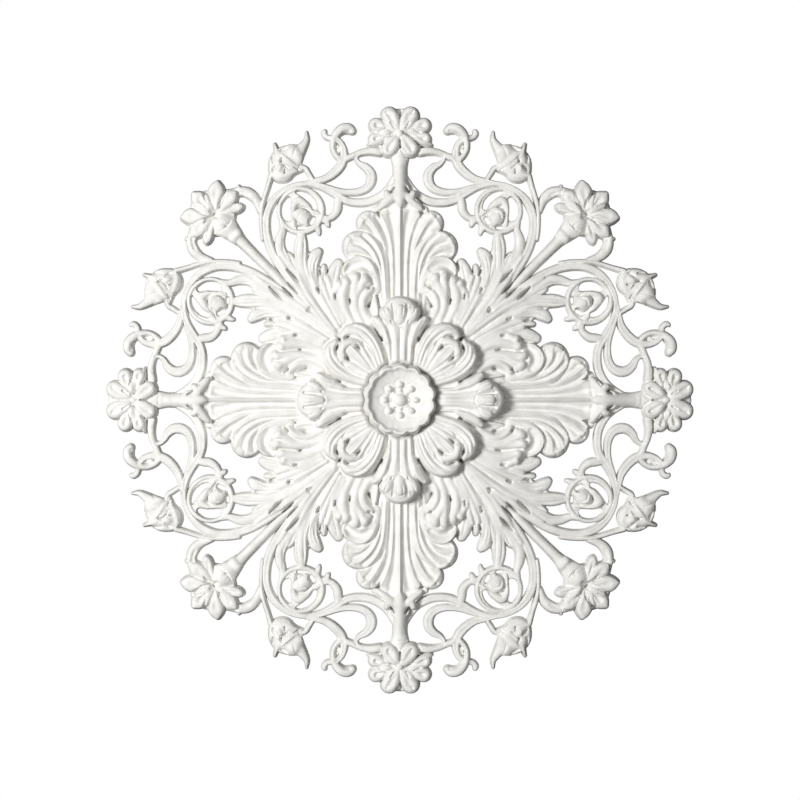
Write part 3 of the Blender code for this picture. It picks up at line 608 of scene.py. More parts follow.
@dataclass
class AxisFlower(Ornament):
    """The flower on the axis of each large leaf, with its stem."""

    centre: tuple[float, float] = (0.0, 265.0)
    stem: Stations = (
        (0, 250, 9, 13), (0, 243, 9.6, 12.5), (0, 235, 8.2, 12.5), (0, 228, 7.6, 13),
        (0, 220, 8.6, 13.5), (0, 212, 10.5, 13.5), (0, 203, 12, 14),
    )
    stem_rings: tuple[Stations, ...] = (
        ((-6, 221, 1.6, 1.2), (6, 221, 1.6, 1.2)),
        ((-6, 240, 1.6, 1), (6, 240, 1.6, 1)),
    )
    disc: Stations = ((0, 265, 25, 12), (0, 266, 25, 12))
    petals: tuple[Station, ...] = (
        (24.4, 259.6, 8, 16), (23.6, 273.4, 8.6, 16.4), (10.6, 283.4, 9.8, 17.5), (11, 250, 9.4, 18),
    )
    barb: Stations = ((26, 256, 5, 13), (31.4, 254, 2.4, 12))
    top_fold: Stations = ((0, 273, 1.3, 1), (0, 282, 1.9, 3), (0, 290, 3, 5))
    eye: Stations = ((0, 264, 4, 17.4), (0, 265, 4, 17.4))
    eye_pits: tuple[Stations, ...] = (
        ((6.6, 264.4, 2, 5), (9.4, 262.6, 2.4, 5)),
        ((6, 270, 1.3, 4), (9, 275, 1.6, 4)),
        ((0, 258, 1.4, 5), (0, 251, 1.7, 5)),
        ((14, 268.6, 1.3, 3), (20, 266.4, 1.9, 3.6)),
        ((15.6, 257, 1.4, 3), (17.8, 254.6, 1.9, 5)),
        ((11.4, 284, 1.6, 1.4), (13, 285.6, 2, 2.6)),
        ((21.4, 271.8, 2, 2.4), (23.4, 272.6, 2.6, 3.4)),
        ((22.4, 259.6, 1.8, 2), (24.4, 258.8, 2.3, 3.2)),
        ((10.8, 250, 1.6, 1.8), (11.6, 247.8, 2, 3)),
    )

    def strokes(self) -> list[Stroke]:
        """Draw the stem, the petals and the eye.

        Returns:
            The strokes, in the order that they are cut.
        """
        return [
            *bars(self.stem, fall=6.5),
            *grooves(*self.stem_rings),
            *bars(self.disc, fall=2),
            *layers(*(petal(self.centre, end) for end in self.petals), fall=5, gap=1.6, reach=1.5),
            *bars(self.barb),
            *grooves(*(petal_hollow(self.centre, end) for end in self.petals)),
            *grooves(*self.eye_pits),
            *layers(self.eye, fall=4, foot=8, blend=1.4),
            *grooves(self.top_fold),
        ]


@dataclass
class CornerFlower(Ornament):
    """The flower on each diagonal, with its long stem."""

    centre: tuple[float, float] = (185.6, 185.6)
    stem: Stations = (
        (113, 113, 3.6, 11.5), (119, 119, 5, 13), (140, 140, 5.5, 12.5), (157, 157, 6.2, 13),
        (166, 166, 9, 15), (175, 175, 12, 16.5),
    )
    knob: Stations = ((161, 165, 4, 16.4), (165, 161, 4, 16.4))
    calyx: Stations = ((173, 173, 8, 18.4), (177, 177, 7, 18.6))
    disc: Stations = ((186, 186, 23.5, 14.4), (187, 187, 23.5, 14.4))
    petals: tuple[Station, ...] = (
        (161.4, 191.4, 6.2, 15), (169.4, 200.8, 8.8, 16.4), (182.6, 207.4, 9.6, 17),
        (198.6, 198.6, 9.8, 16.4),
    )
    point: float = 0.88
    hollow_depth: float = 1.8
    pit: Stations = ((181.6, 181.6, 3.4, 5), (184.4, 184.4, 4.2, 7), (187.4, 187.4, 3.2, 5))
    side_pits: Stations = ((175.4, 194.6, 1.4, 3), (178.6, 192.6, 2.2, 6), (181.4, 187.6, 2.4, 7))
    folds: tuple[Stations, ...] = (
        ((187.6, 197, 1.3, 1.6), (190, 204, 1.7, 3), (192, 209, 2.2, 4)),
        ((174, 207, 1.3, 1.6), (177, 200, 1.5, 3), (180.6, 192, 1.6, 4)),
        ((192, 196, 1.2, 2), (194.6, 204, 1.9, 4), (193, 209, 1.4, 3)),
        ((167.4, 178, 0.9, 0.8), (170, 173.4, 1.6, 2.4), (172.4, 172.4, 1.7, 2.6)),
    )

    def strokes(self) -> list[Stroke]:
        """Draw the stem with its knob and calyx, the petals and the pit between them.

        Returns:
            The strokes, in the order that they are cut.
        """
        ends = [petal(self.centre, end, self.point) for end in self.petals]
        hollows = [petal_hollow(self.centre, end, self.hollow_depth) for end in self.petals]
        return [
            *bars(self.stem, fall=5),
            *bars(self.disc),
            *layers(*ends, *map(mirrored, ends), fall=4, gap=1.4, reach=1.5),
            *grooves(*hollows, *map(mirrored, hollows)),
            *swells(self.knob, self.calyx, fall=3, blend=1.2),
            *grooves(self.pit, self.side_pits, mirrored(self.side_pits)),
            *grooves(*self.folds, *map(mirrored, self.folds)),
        ]


@dataclass
class CornerLeaf(Ornament):
    """The many-fingered leaf on each diagonal."""

    body: tuple[Stations, ...] = (
        ((52, 70, 12, 16), (66, 92, 14, 14), (80, 112, 14, 12), (91, 130, 11, 9.4), (97, 146, 7, 8)),
        ((75, 75, 20, 16), (93, 100, 16, 14), (106, 118, 9, 11)),
        ((57, 116, 6, 10), (59, 124, 6, 10), (60, 132, 5, 10)),
    )
    outer_fingers: tuple[Stations, ...] = (
        ((98, 112, 5, 15), (106, 127, 6, 13), (113, 139, 6.2, 12), (119, 150, 5.8, 10.5),
         (119.6, 160, 5.2, 9.5), (116.6, 170, 4, 9), (118, 178, 3, 9)),
        ((86, 100, 6, 16), (93, 115, 6.4, 15), (97, 131, 7.2, 13.6), (98.6, 147, 7.6, 12.4),
         (98.6, 156, 7, 11), (98, 166, 4.4, 9)),
        ((92, 112, 5, 15), (99, 122, 6, 14), (104.5, 131, 6.6, 13), (108.4, 139, 5.8, 11.5),
         (110.6, 145, 3.4, 10)),
        ((74, 92, 6, 17), (81, 105, 6.4, 16), (86.4, 121, 7, 14.6), (87.6, 134, 7, 13),
         (84.6, 143, 7, 12.4), (81, 147.6, 5, 11)),
        ((68, 90, 5, 17), (73.6, 103, 5.6, 16), (77, 114, 5.4, 14.6), (76.6, 125, 4.8, 13),
         (75.6, 133, 3.4, 11.6)),
        ((60, 90, 6, 17), (66, 104, 7, 16), (67, 116, 7.4, 14.4), (64.6, 128, 7.4, 13),
         (61.6, 136, 5.6, 11)),
    )
    veins: tuple[Stations, ...] = (
        ((61, 73, 2.6, 20.5), (72, 92, 3.4, 19.6), (82, 110, 3.6, 17), (90, 126, 3.2, 15),
         (93, 138, 2.6, 13)),
        ((59, 76, 2.4, 20), (68, 93, 3.2, 19), (74, 108, 3.2, 17), (78, 120, 2.8, 15)),
        ((66, 70, 3, 21), (80, 88, 3.6, 20), (92, 106, 3.6, 18), (101, 124, 3.4, 15.4)),
        ((72, 73, 3, 21), (88, 92, 3.6, 20), (101, 110, 3.4, 17.4), (112, 128, 3, 14.6),
         (121, 142, 2.4, 12.4)),
        ((55, 80, 2.6, 19.6), (62, 96, 3.6, 18.6), (68, 110, 3.4, 17), (72, 122, 2.8, 15.4)),
    )
    middle: Stations = (
        (66, 66, 4, 21.5), (84, 84, 4.4, 20), (97, 97, 4.2, 18.6), (104, 104, 3.2, 17.4),
    )
    short_tip: Stations = (
        (88, 98, 3, 18), (98, 109, 3.8, 17.4), (105.4, 116.4, 3.6, 16.6), (109.4, 120, 2.2, 15),
    )
    creases: tuple[Stations, ...] = (
        ((88, 118, 0.8, 0.4), (90.6, 130, 1.8, 2), (91.6, 138, 2.4, 3.4), (91, 143, 2.2, 3)),
        ((95.4, 128, 0.8, 0.3), (95.8, 142, 1.7, 1.4), (95.4, 154, 1.7, 1.5), (95.8, 163, 0.8, 0.4)),
        ((100.8, 134, 0.8, 0.3), (101.8, 146, 1.7, 1.4), (101, 156, 1.5, 1.2), (99.6, 164, 0.8, 0.4)),
        ((103.4, 131, 0.8, 0.3), (107, 138, 1.5, 1.5), (109.6, 143.6, 0.9, 0.6)),
        ((112.4, 140, 0.8, 0.3), (116.4, 151, 1.6, 1.3), (116.4, 162, 1.4, 1.1),
         (115.4, 170, 0.7, 0.4)),
        ((66.4, 112, 0.8, 0.3), (64.4, 124, 1.7, 1.3), (62, 134, 1, 0.6)),
        ((61.6, 112, 0.8, 0.3), (60.4, 122, 1.5, 1.1), (59, 130, 0.8, 0.4)),
        ((84, 122, 0.8, 0.3), (84.6, 133, 1.8, 1.6), (81.4, 142.4, 1, 0.7)),
        ((88, 126, 0.7, 0.3), (88, 134, 1.4, 1), (85.4, 143, 0.8, 0.5)),
        ((76, 112, 0.7, 0.3), (75.6, 121, 1.3, 1), (75, 129, 0.8, 0.5)),
    )
    pits: tuple[Stations, ...] = (
        ((99.4, 116.6, 1, 3), (105, 122.4, 3, 12), (112, 129.4, 1.8, 8)),
        ((101.4, 105.6, 0.9, 4), (106.6, 110.8, 2.1, 12), (112, 116.4, 1.5, 9)),
        ((87.6, 88, 2, 4), (89, 91, 2.5, 6)),
        ((80, 106.6, 2, 6), (81.4, 110.4, 2.7, 10)),
        ((78.6, 124.6, 2, 7), (80, 128.6, 2.3, 9)),
    )

    def strokes(self) -> list[Stroke]:
        """Draw the leaf's bed, its fingers, their veins, and its creases and pits.

        Returns:
            The strokes, in the order that they are cut.
        """
        return [
            *bars(*self.body, fall=1),
            *bars(*self.outer_fingers, fall=3.6, power=2.6, blend=1.4),
            *swells(*self.veins, self.middle, *map(mirrored, self.veins), fall=3.4, blend=1.8),
            *layers(self.short_tip, mirrored(self.short_tip), fall=3.4, foot=8, blend=1.6),
            *grooves(*self.creases),
            *grooves(*self.pits, *map(mirrored, self.pits)),
        ]


@dataclass
class MiddleLobe(Ornament):
    """The bed of the lobe between the large leaf and the diagonal leaf."""

    body: Stations = ((36, 76, 15, 16.4), (42, 95, 20, 16), (46, 110, 19, 15))
    first_flute: Stations = (
        (23, 78, 3.4, 19), (22.6, 90, 3.4, 18.6), (24, 101, 3.2, 17.6), (25, 106, 2.6, 17),
    )

    def strokes(self) -> list[Stroke]:
        """Draw the lobe's bed and the flute beside the large leaf.

        Returns:
            The strokes, in the order that they are cut.
        """
        return [
            *bars(self.body, fall=2),
            *swells(self.first_flute, fall=4.4, blend=0.9),
        ]


@dataclass
class LobeEnd(Ornament):
    """The middle lobe's flutes and its turned over end, which lie over the large leaf's edge."""

    rim: Stations = (
        (30, 114, 4.6, 18), (36, 117.6, 6.4, 19), (43, 118.6, 6.8, 19), (50, 115.4, 5.6, 18.6),
        (57, 112.6, 6.2, 18.2), (63, 107.6, 4.4, 17.2),
    )
    flutes: tuple[Stations, ...] = (
        ((30, 78, 4.4, 20), (35.6, 88, 4.6, 20.6), (37, 97, 4.2, 20.8), (33.6, 105, 4, 20.6),
         (28.6, 109.6, 3.4, 19.6)),
        ((38.6, 78, 4.8, 19.8), (43.6, 91, 5, 20), (43.6, 103, 5, 20.4), (39, 112, 4.8, 21),
         (35.6, 119.4, 4.4, 21.6)),
        ((44.6, 96, 4, 19.6), (45.4, 106, 4.4, 20), (44.4, 114, 4.6, 20.8), (43.6, 121, 4.4, 21.6)),
        ((48, 78, 4.6, 19.8), (54.6, 90, 5.2, 19.8), (56.6, 101, 5.2, 19.8), (55.2, 110, 5, 20.2),
         (53.4, 116.4, 4.2, 20.2)),
        ((56.6, 78, 4, 19.4), (63, 89, 4.6, 19.2), (66, 100, 4.2, 18.6), (64, 108, 3.8, 18.6),
         (60.4, 114, 3.6, 19)),
    )
    bosses: tuple[Stations, ...] = (
        ((34.4, 119.6, 4, 22.8), (35.4, 121, 4, 22.6)),
        ((43.4, 121.4, 4.2, 22.8), (44, 122.4, 4, 22.4)),
        ((53, 116.6, 3.8, 21.6), (53.4, 117.6, 3.6, 21.4)),
        ((59.6, 115, 3.4, 21), (60.4, 115.4, 3.2, 20.8)),
    )
    eyes: tuple[Stations, ...] = (
        ((27, 102, 1.4, 2.4), (29.4, 97.4, 2.3, 6), (31.4, 93.4, 3.2, 11)),
        ((27, 114, 1.6, 4), (30.6, 111, 2.6, 8)),
        ((49.4, 95.6, 1.7, 5), (50, 99.2, 2.3, 9)),
        ((64, 100.6, 2, 7), (64.6, 104.4, 2.2, 8)),
    )
    seams: tuple[Stations, ...] = (
        ((50.4, 100, 1.4, 2), (49.4, 107, 1.5, 2.2), (48.6, 114, 1.6, 2.6), (48.4, 121, 1.8, 3)),
        ((39.4, 116, 0.8, 0.4), (39.4, 120.6, 1.4, 1.8), (39.2, 124.6, 1.9, 2.6)),
    )

    def strokes(self) -> list[Stroke]:
        """Draw the end's bed, the flutes that run out over it, and the eyes and seams.

        Returns:
            The strokes, in the order that they are cut.
        """
        return [
            *layers(self.rim, fall=4, foot=9, gap=2.2, reach=2.6),
            *swells(*self.flutes, fall=4, blend=2.6),
            *swells(*self.bosses, fall=3, blend=1.4),
            *grooves(*self.eyes, *self.seams),
        ]


@dataclass
class LargeLeaf(Ornament):
    """The large leaf on each axis: a spine, three lobes a side and a tip that is turned over."""

    body: Stations = (
        (0, 88, 27, 14), (0, 116, 27, 13.4), (3, 140, 23, 13), (4, 160, 20, 12.6), (6, 180, 16, 12.6),
        (0, 190, 18, 12.6),
    )
    first_lobe: Stations = (
        (12, 100, 8, 15), (16, 135, 9.6, 14.6), (23, 163, 13, 14.4), (31, 176, 13.4, 15),
    )
    first_flutes: tuple[Stations, ...] = (
        ((4, 100, 2.8, 1.6), (4, 140, 3.2, 2.4), (5.4, 165, 4.4, 3.2), (9, 184, 5.6, 4.4)),
        ((9.6, 100, 2, 1), (9.8, 135, 2.4, 1.6), (12.4, 158, 3.2, 2.4), (18.6, 174, 4.2, 3.2),
         (24, 181, 3.4, 2.6)),
        ((14, 110, 1.6, 1), (14.6, 135, 2, 1.4), (19.4, 155, 3, 2.2), (27.4, 169, 4, 3),
         (34, 176, 3.2, 2.2)),
    )
    first_ridges: tuple[Stations, ...] = (
        ((7, 100, 1.3, 0.8), (7, 130, 1.4, 1), (8.2, 150, 1.6, 1.2), (11.2, 165, 1.8, 1.4),
         (16, 179, 2, 1.4), (22, 187, 2, 1.2)),
        ((12, 100, 1.2, 0.8), (12, 130, 1.3, 1), (14.4, 148, 1.6, 1.2), (19.4, 162, 1.8, 1.4),
         (26.6, 175, 2, 1.4), (32.6, 182, 2, 1.2)),
    )
    first_rim: Stations = (
        (19, 189, 1.8, 0.8), (25, 187, 2.4, 1.8), (31.6, 183.6, 2.6, 1.6), (37, 177.6, 2.6, 2),
        (40.4, 171, 2.2, 1.2),
    )
    second_lobe: Stations = (
        (15, 96, 6, 15), (18, 122, 8, 15), (26, 143, 13, 15.6), (38, 151, 16.4, 16.4),
        (42, 152.6, 15, 16.4),
    )
    second_flutes: tuple[Stations, ...] = (
        ((17, 100, 1.4, 1), (17.4, 124, 1.8, 1.4), (20.4, 141, 2.6, 2), (27.4, 154, 3.4, 2.8),
         (37, 163, 3.2, 2.4)),
        ((20.6, 112, 1.6, 1.2), (22, 128, 2.2, 1.6), (27.6, 142, 3, 2.4), (36.4, 152, 3.6, 3),
         (46, 156, 3, 2.2)),
        ((25.4, 130, 1.8, 1.4), (33, 141, 2.4, 2), (43, 146, 3, 2.4), (50, 145, 2.4, 2)),
    )
    second_ridges: tuple[Stations, ...] = (
        ((14, 100, 1.2, 0.8), (15.2, 126, 1.4, 1), (18, 143, 1.6, 1.4), (24, 156, 1.9, 1.6),
         (33, 166, 2, 1.2)),
        ((18.6, 104, 1.2, 0.8), (19.4, 126, 1.4, 1), (23, 141, 1.6, 1.4), (30, 152.6, 1.9, 1.6),
         (39, 160, 2, 1.4), (45, 162, 2, 1.2)),
        ((22.6, 120, 1.2, 0.8), (25.4, 134, 1.4, 1.2), (31.6, 145, 1.8, 1.4), (41, 150.6, 2, 1.4),
         (51, 151, 2, 1.2)),
    )
    second_rim: Stations = (
        (38, 167, 1.8, 0.8), (45, 164.4, 2.4, 1.6), (50.4, 159, 2.6, 2), (53.6, 152, 2.6, 2),
        (54, 145, 2.2, 1.2),
    )
    third_lobe: Stations = (
        (24, 110, 6, 15.6), (30, 124, 10, 16.4), (39, 129, 14.6, 18), (45, 129, 12, 17.4),
    )
    third_hollow: tuple[Stations, ...] = (
        ((31, 130, 4.4, 3), (38.6, 134, 5.6, 4.4), (46.6, 132.6, 5.8, 5.6), (53, 126.6, 4.6, 6.6)),
    )
    third_rim: Stations = (
        (23.6, 124, 1.8, 0.8), (28, 134.6, 2.4, 1.4), (35.6, 141.4, 2.6, 1.8), (44.6, 142.6, 2.6, 2),
        (51.4, 138.4, 2.6, 2), (55.6, 130, 2.4, 1.6),
    )
    notches: tuple[Stations, ...] = (
        ((55, 139.6, 2.6, 9),), ((70.4, 133.8, 2.2, 8),), ((44.6, 168.6, 1.8, 4),),
        ((28.6, 187.4, 1.3, 1.6), (29, 184, 1.2, 1)),
        ((37, 182.4, 1.3, 1.6), (35, 179.6, 1.2, 1)),
        ((50.4, 163, 1.3, 1.6), (47.6, 160.6, 1.2, 1)),
        ((55.6, 155, 1.3, 1.6), (52, 154.4, 1.2, 1)),
    )
    spine: Stations = ((0, 98, 2.2, 2.6), (0, 140, 2.3, 3), (0, 192, 2.4, 4))

    def strokes(self) -> list[Stroke]:
        """Draw the leaf from its lowest layer to the lobe that lies over the others.

        Returns:
            The strokes, in the order that they are cut.
        """
        return [
            *bars(self.body, fall=1),
            *bars(self.first_lobe, fall=3.4, power=3, blend=1.6),
            *grooves(*self.first_flutes),
            *ridges(*self.first_ridges, self.first_rim),
            *layers(self.second_lobe, fall=3.4, power=3, gap=2.4, reach=4, foot=8, blend=1.2),
            *grooves(*self.second_flutes),
            *ridges(*self.second_ridges, self.second_rim),
            *layers(self.third_lobe, fall=3, power=3, gap=3, reach=3.4, foot=8),
            *grooves(*self.third_hollow),
            *ridges(self.third_rim),
            *grooves(*self.notches),
            *ridges(self.spine),
        ]


@dataclass
class LeafTip(Ornament):
    """The tip of the large leaf, which is turned over against the stem."""

    web: Stations = ((16, 194, 4, 9), (25, 189.6, 4, 9))
    body: Stations = ((0, 203, 8.6, 18), (0, 209, 10, 17))
    bar: Stations = (
        (2, 204, 5.4, 20), (9, 200.4, 5.2, 19.6), (15.6, 195, 4.6, 17.6), (20.6, 190.6, 3, 15),
    )
    knob: Stations = ((12.4, 203.4, 4.4, 19.6), (13, 205, 4, 18.6))
    keel: Stations = (
        (0, 230, 6, 13), (0, 216, 6.6, 17.6), (0, 207, 7, 20.8), (0, 200, 6.4, 21.8),
        (0, 195, 4.4, 20.8), (0, 192, 2.6, 18.6),
    )
    slits: tuple[Stations, ...] = (
        ((5.6, 211, 1.7, 8), (8.6, 206.8, 1.7, 8)),
        ((14.6, 198.8, 1.3, 2), (18.6, 195.8, 1.4, 2)),
    )
    scoops: Stations = ((6, 191.6, 3.4, 2.4), (11, 189.6, 3.4, 2.4))

    def strokes(self) -> list[Stroke]:
        """Draw the turned over tip.

        Returns:
            The strokes, in the order that they are cut.
        """
        return [
            *bars(self.web, fall=1),
            *layers(self.body, fall=3, foot=8, gap=2, reach=4, blend=1.6),
            *layers(self.bar, fall=4, foot=8, gap=1, blend=2),
            *layers(self.knob, fall=3, foot=8, blend=2),
            *layers(self.keel, fall=5, foot=10, gap=0.6, reach=2, blend=2.2),
            *grooves(*self.slits, self.scoops),
        ]


@dataclass
class InnerTier(Ornament):
    """The inner tier: a leaf on each diagonal, and a fluted blade with a curled tip on each axis."""

    bed: Stations = ((0, 0, 62, 26), (1, 1, 62, 26))
    leaf_body: Stations = ((24, 27, 15, 30.4), (36, 43, 18, 31.6), (43, 53, 16, 31.6))
    leaf_lobes: tuple[Stations, ...] = (
        ((17, 36, 5.4, 31), (22, 50, 7, 32), (30, 63, 8.2, 32.6), (41, 69.6, 8, 32.6),
         (50, 68.4, 7.4, 32.2), (56.6, 63.6, 5, 31)),
    )
    leaf_ridges: tuple[Stations, ...] = (
        ((16, 36, 1.8, 0.8), (19, 47, 2.2, 1.6), (25, 60, 2.4, 1.8), (34, 70.4, 2.4, 1.8),
         (43, 74, 2.2, 1.2)),
        ((19, 34, 1.8, 1), (24, 50, 2.3, 1.9), (32, 62, 2.5, 2.2), (42, 69, 2.6, 2.2),
         (51, 70, 2.2, 1.2)),
        ((22, 33, 1.8, 1), (28, 47, 2.3, 2), (36, 58, 2.5, 2.4), (44, 64.6, 2.5, 2.4),
         (51, 66, 2.3, 1.8), (56, 64, 1.8, 1)),
        ((26, 32, 1.8, 1), (33, 44, 2.3, 2), (38.6, 53, 2.4, 2.4), (42, 58, 2.4, 2.6),
         (47.6, 59.6, 2.4, 2.6), (53, 58.8, 2.2, 1.6)),
        ((30, 32, 1.8, 1), (38, 42, 2.3, 2), (45, 49.6, 2.5, 2.6), (50, 54.6, 2.4, 2.4)),
    )
    leaf_middle: Stations = ((28, 28, 2.2, 1), (42, 42, 2.6, 1.8), (53, 53, 3, 2.2))
    leaf_curl: Stations = (
        (44, 55.6, 3.6, 35.2), (48, 57, 4, 36.4), (52.4, 55.6, 4.2, 36.8), (55, 55, 3.8, 36.2),
    )
    leaf_grooves: tuple[Stations, ...] = (
        ((26, 43, 1.3, 1.2), (31, 52, 1.7, 2.2), (36, 57.6, 1.5, 2.2), (40, 61, 1.2, 1.4)),
        ((44, 62, 1.3, 2), (48.4, 63, 1.8, 4.4), (51.6, 62.2, 2.8, 10), (54.4, 60.6, 1.8, 5)),
        ((38, 49, 1.6, 3), (40, 51, 2.7, 9), (42, 52.6, 2.8, 11)),
        ((33.4, 52.6, 1, 1), (35.4, 55, 1.5, 3.6), (37, 56.8, 1.4, 3)),
        ((44.4, 52, 1.2, 2), (47.8, 53.8, 1.3, 2.2), (51, 52.8, 1.1, 1.6)),
    )
    leaf_notch: Stations = ((58.2, 58.2, 2.4, 10), (60, 60, 2.6, 10))
    blade: Stations = (
        (0, 34, 12, 31), (0, 50, 13, 31), (0, 64, 15, 31), (0, 76, 18.4, 32), (0, 84, 18.4, 33),
    )
    blade_lobes: tuple[Stations, ...] = (
        ((12, 58, 4.6, 31), (16, 66, 5, 31.4), (19.6, 72.4, 4.2, 30.6)),
        ((15, 68, 5, 31.6), (20.4, 75.6, 4.8, 31.4), (24.4, 80, 3.6, 29.6)),
    )
    blade_ridges: tuple[Stations, ...] = (
        ((3.6, 38, 2.8, 1.6), (4, 56, 3.4, 1.6), (6.6, 78, 4.2, 1)),
        ((10.6, 40, 2.2, 1.6), (11.4, 56, 2.6, 1.8), (15.4, 70, 2.8, 1.8), (20, 78, 2.4, 1.2)),
    )
    blade_valleys: tuple[Stations, ...] = (
        ((0, 38, 1.2, 0.8), (0, 60, 1.4, 1.2), (0, 74, 1.4, 0.8)),
        ((7.4, 40, 2.4, 1.4), (7.8, 56, 2.8, 1.8), (11, 72, 3.4, 1.6)),
    )
    blade_pit: Stations = ((17.4, 60, 2.1, 8), (18.2, 62, 2.1, 8))

    def strokes(self) -> list[Stroke]:
        """Draw the diagonal leaves first, then the blades over them.

        Returns:
            The strokes, in the order that they are cut.
        """
        made = layers(self.bed, fall=0, foot=6)
        for turn in (tuple, mirrored):
            made += layers(turn(self.leaf_body), fall=1.6, foot=6, blend=2.5)
        for turn in (tuple, mirrored):
            made += layers(*map(turn, self.leaf_lobes), fall=3.4, foot=14, blend=2.5)
        for turn in (tuple, mirrored):
            made += ridges(*map(turn, self.leaf_ridges))
        made += ridges(self.leaf_middle)
        made += swells(self.leaf_curl, mirrored(self.leaf_curl), fall=3.4, blend=1.6)
        for turn in (tuple, mirrored):
            made += grooves(*map(turn, self.leaf_grooves))
        made += grooves(self.leaf_notch)
        made += layers(self.blade, fall=3, foot=20, gap=2, reach=3, power=3, blend=1.4)
        made += layers(*self.blade_lobes, fall=3, foot=20, blend=2.6)
        made += ridges(*self.blade_ridges)
        made += grooves(*self.blade_valleys, self.blade_pit)
        return made


@dataclass
class InnerTip(Ornament):
    """The curled, fan-shaped tip of the inner blade."""

    fan: Stations = ((0, 82, 12, 33.4), (0, 84.6, 13.2, 34))
    lobes: tuple[Stations, ...] = (
        ((8, 77, 4.4, 34), (12, 82.6, 6.2, 35.6), (13.6, 86.4, 6, 35.4)),
        ((0, 77, 4.6, 34.6), (0, 84, 6.6, 36.6), (0, 88.4, 7.2, 37.4)),
    )
    folds: tuple[Stations, ...] = (
        ((5.4, 77, 1, 1), (6.2, 83, 1.6, 2.6), (6.8, 89, 1.8, 3.4), (7.2, 94, 2, 3.4)),
        ((12, 83, 0.9, 0.4), (14, 86.4, 1.3, 1.4), (15, 89.6, 1.3, 1.6)),
        ((2.2, 83, 0.8, 0.4), (2.8, 87.6, 1.2, 1.2), (3, 92.6, 1.2, 1)),
        ((7.6, 75.4, 1.2, 2), (8.6, 77.6, 1.5, 3.4)),
    )
    crease: Stations = ((-4, 75.4, 1.4, 1.4), (0, 73.6, 1.8, 2.2), (4, 75.4, 1.4, 1.4))

    def strokes(self) -> list[Stroke]:
        """Draw the fan's lobes from the outer ones to the middle one.

        Returns:
            The strokes, in the order that they are cut.
        """
        return [
            *layers(self.fan, fall=2, foot=24, blend=2),
            *layers(*self.lobes, fall=4, foot=24, blend=2),
            *grooves(*self.folds, self.crease),
        ]


@dataclass
class Rosette:
    """The dished flower in the middle, with a scalloped rim, a ring of beads and a boss.

    All sizes are in drawing units, apart from the two counts and the shares of a petal's wave.
    """

    petals: int = 14
    radius: float = 36.4
    scallop: float = 2.5
    scallop_middle: float = 0.6
    rim_radius: float = 33.2
    rim_scallop: float = 0.6
    rim_limit: float = 1.2
    rim_height: float = 42.0
    rim_fall: float = 3.6
    crest: float = 1.7
    wall: float = 3.0
    wall_drop: float = 5.2
    dish_radius: float = 14.0
    dish_drop: float = 4.6
    petal_swell: float = 1.1
    seam_depth: float = 0.4
    seam_share: float = 0.2
    seam_start: float = 20.0
    seam_run: float = 6.0
    edge_foot: float = 22.0
    moat: float = 6.0
    moat_width: float = 3.4
    join: float = 0.6
    bead_count: int = 8
    bead_ring: float = 15.2
    bead_radius: float = 3.5
    bead_rise: float = 4.0
    pit_ring: float = 10.2
    pit_radius: float = 2.9
    pit_depth: float = 4.6
    boss_radius: float = 6.2
    boss_rise: float = 5.0
    dome_moat: float = 1.4
    dome_moat_place: float = 0.8
    dome_moat_width: float = 1.2

    def carve(self, relief: Relief) -> None:
        """Shape the rosette over the middle of the relief, in polar terms.

        Args:
            relief: The face, carved all but for the rosette.
        """
        radius = np.hypot(relief.x, relief.y)
        angle = np.arctan2(relief.y, relief.x)
        lobe = np.abs(np.cos((angle - pi / 2) * self.petals / 2))
        wave = self.scallop * (lobe - self.scallop_middle)
        edge = self.radius + wave
        rim = self.rim_radius + self.rim_scallop * wave
        down = np.clip((rim - self.crest - radius) / self.wall, 0, 1)
        inward = np.clip((rim - self.crest - self.wall - radius) / self.dish_radius, 0, 1)
        outward = np.clip((radius - rim) / (edge - rim), 0, self.rim_limit)
        top = self.rim_height - self.rim_fall * outward**2 - self.wall_drop * down**2 * (3 - 2 * down)
        top -= self.dish_drop * inward * (2 - inward)
        top -= self.petal_swell * (1 - lobe) ** 2 * np.clip(radius / self.radius, 0, 1) ** 2
        seam = np.clip(1 - lobe / self.seam_share, 0, 1)
        top -= self.seam_depth * seam * np.clip((radius - self.seam_start) / self.seam_run, 0, 1)
        body = smooth_smaller(self.edge_foot + SIDE_SLOPE * (edge - radius), top, SHOULDER)
        beside = np.clip(1 - (radius - edge) / self.moat_width, 0, 1)
        lowered = relief.height - self.moat * beside**SHADOW_POWER
        joined = smooth_larger(np.where(radius > edge, lowered, OUTSIDE), body, self.join)
        relief.height = np.where(radius < edge + self.moat_width, joined, relief.height)
        for bead in range(self.bead_count):
            self._pit(relief, 2 * pi * (bead + 0.5) / self.bead_count)
        for bead in range(self.bead_count):
            turn = 2 * pi * bead / self.bead_count
            x, y = self.bead_ring * cos(turn), self.bead_ring * sin(turn)
            away = np.hypot(relief.x - x, relief.y - y)
            self._dome(relief, away, self.bead_radius, self.bead_rise)
        self._dome(relief, radius, self.boss_radius, self.boss_rise)

    def _pit(self, relief: Relief, turn: float) -> None:
        """Drill a pit between two beads, beside the boss.

        Args:
            relief: The face.
            turn: The pit's direction from the middle, in radians.
        """
        away = np.hypot(relief.x - self.pit_ring * cos(turn), relief.y - self.pit_ring * sin(turn))
        bowl = np.clip(1 - (away / self.pit_radius) ** 2, 0, 1)
        relief.height = relief.height - self.pit_depth * bowl

    def _dome(self, relief: Relief, away: np.ndarray, radius: float, rise: float) -> None:
        """Raise a round dome with a shallow moat about it.

        Args:
            relief: The face.
            away: How far each place is from the dome's middle.
            radius: The dome's radius.
            rise: The dome's height.
        """
        dome = rise * np.sqrt(np.clip(1 - (away / radius) ** 2, 0, 1))
        beside = (away - radius - self.dome_moat_place) / self.dome_moat_width
        relief.height = relief.height + dome - self.dome_moat * np.exp(-(beside**2))


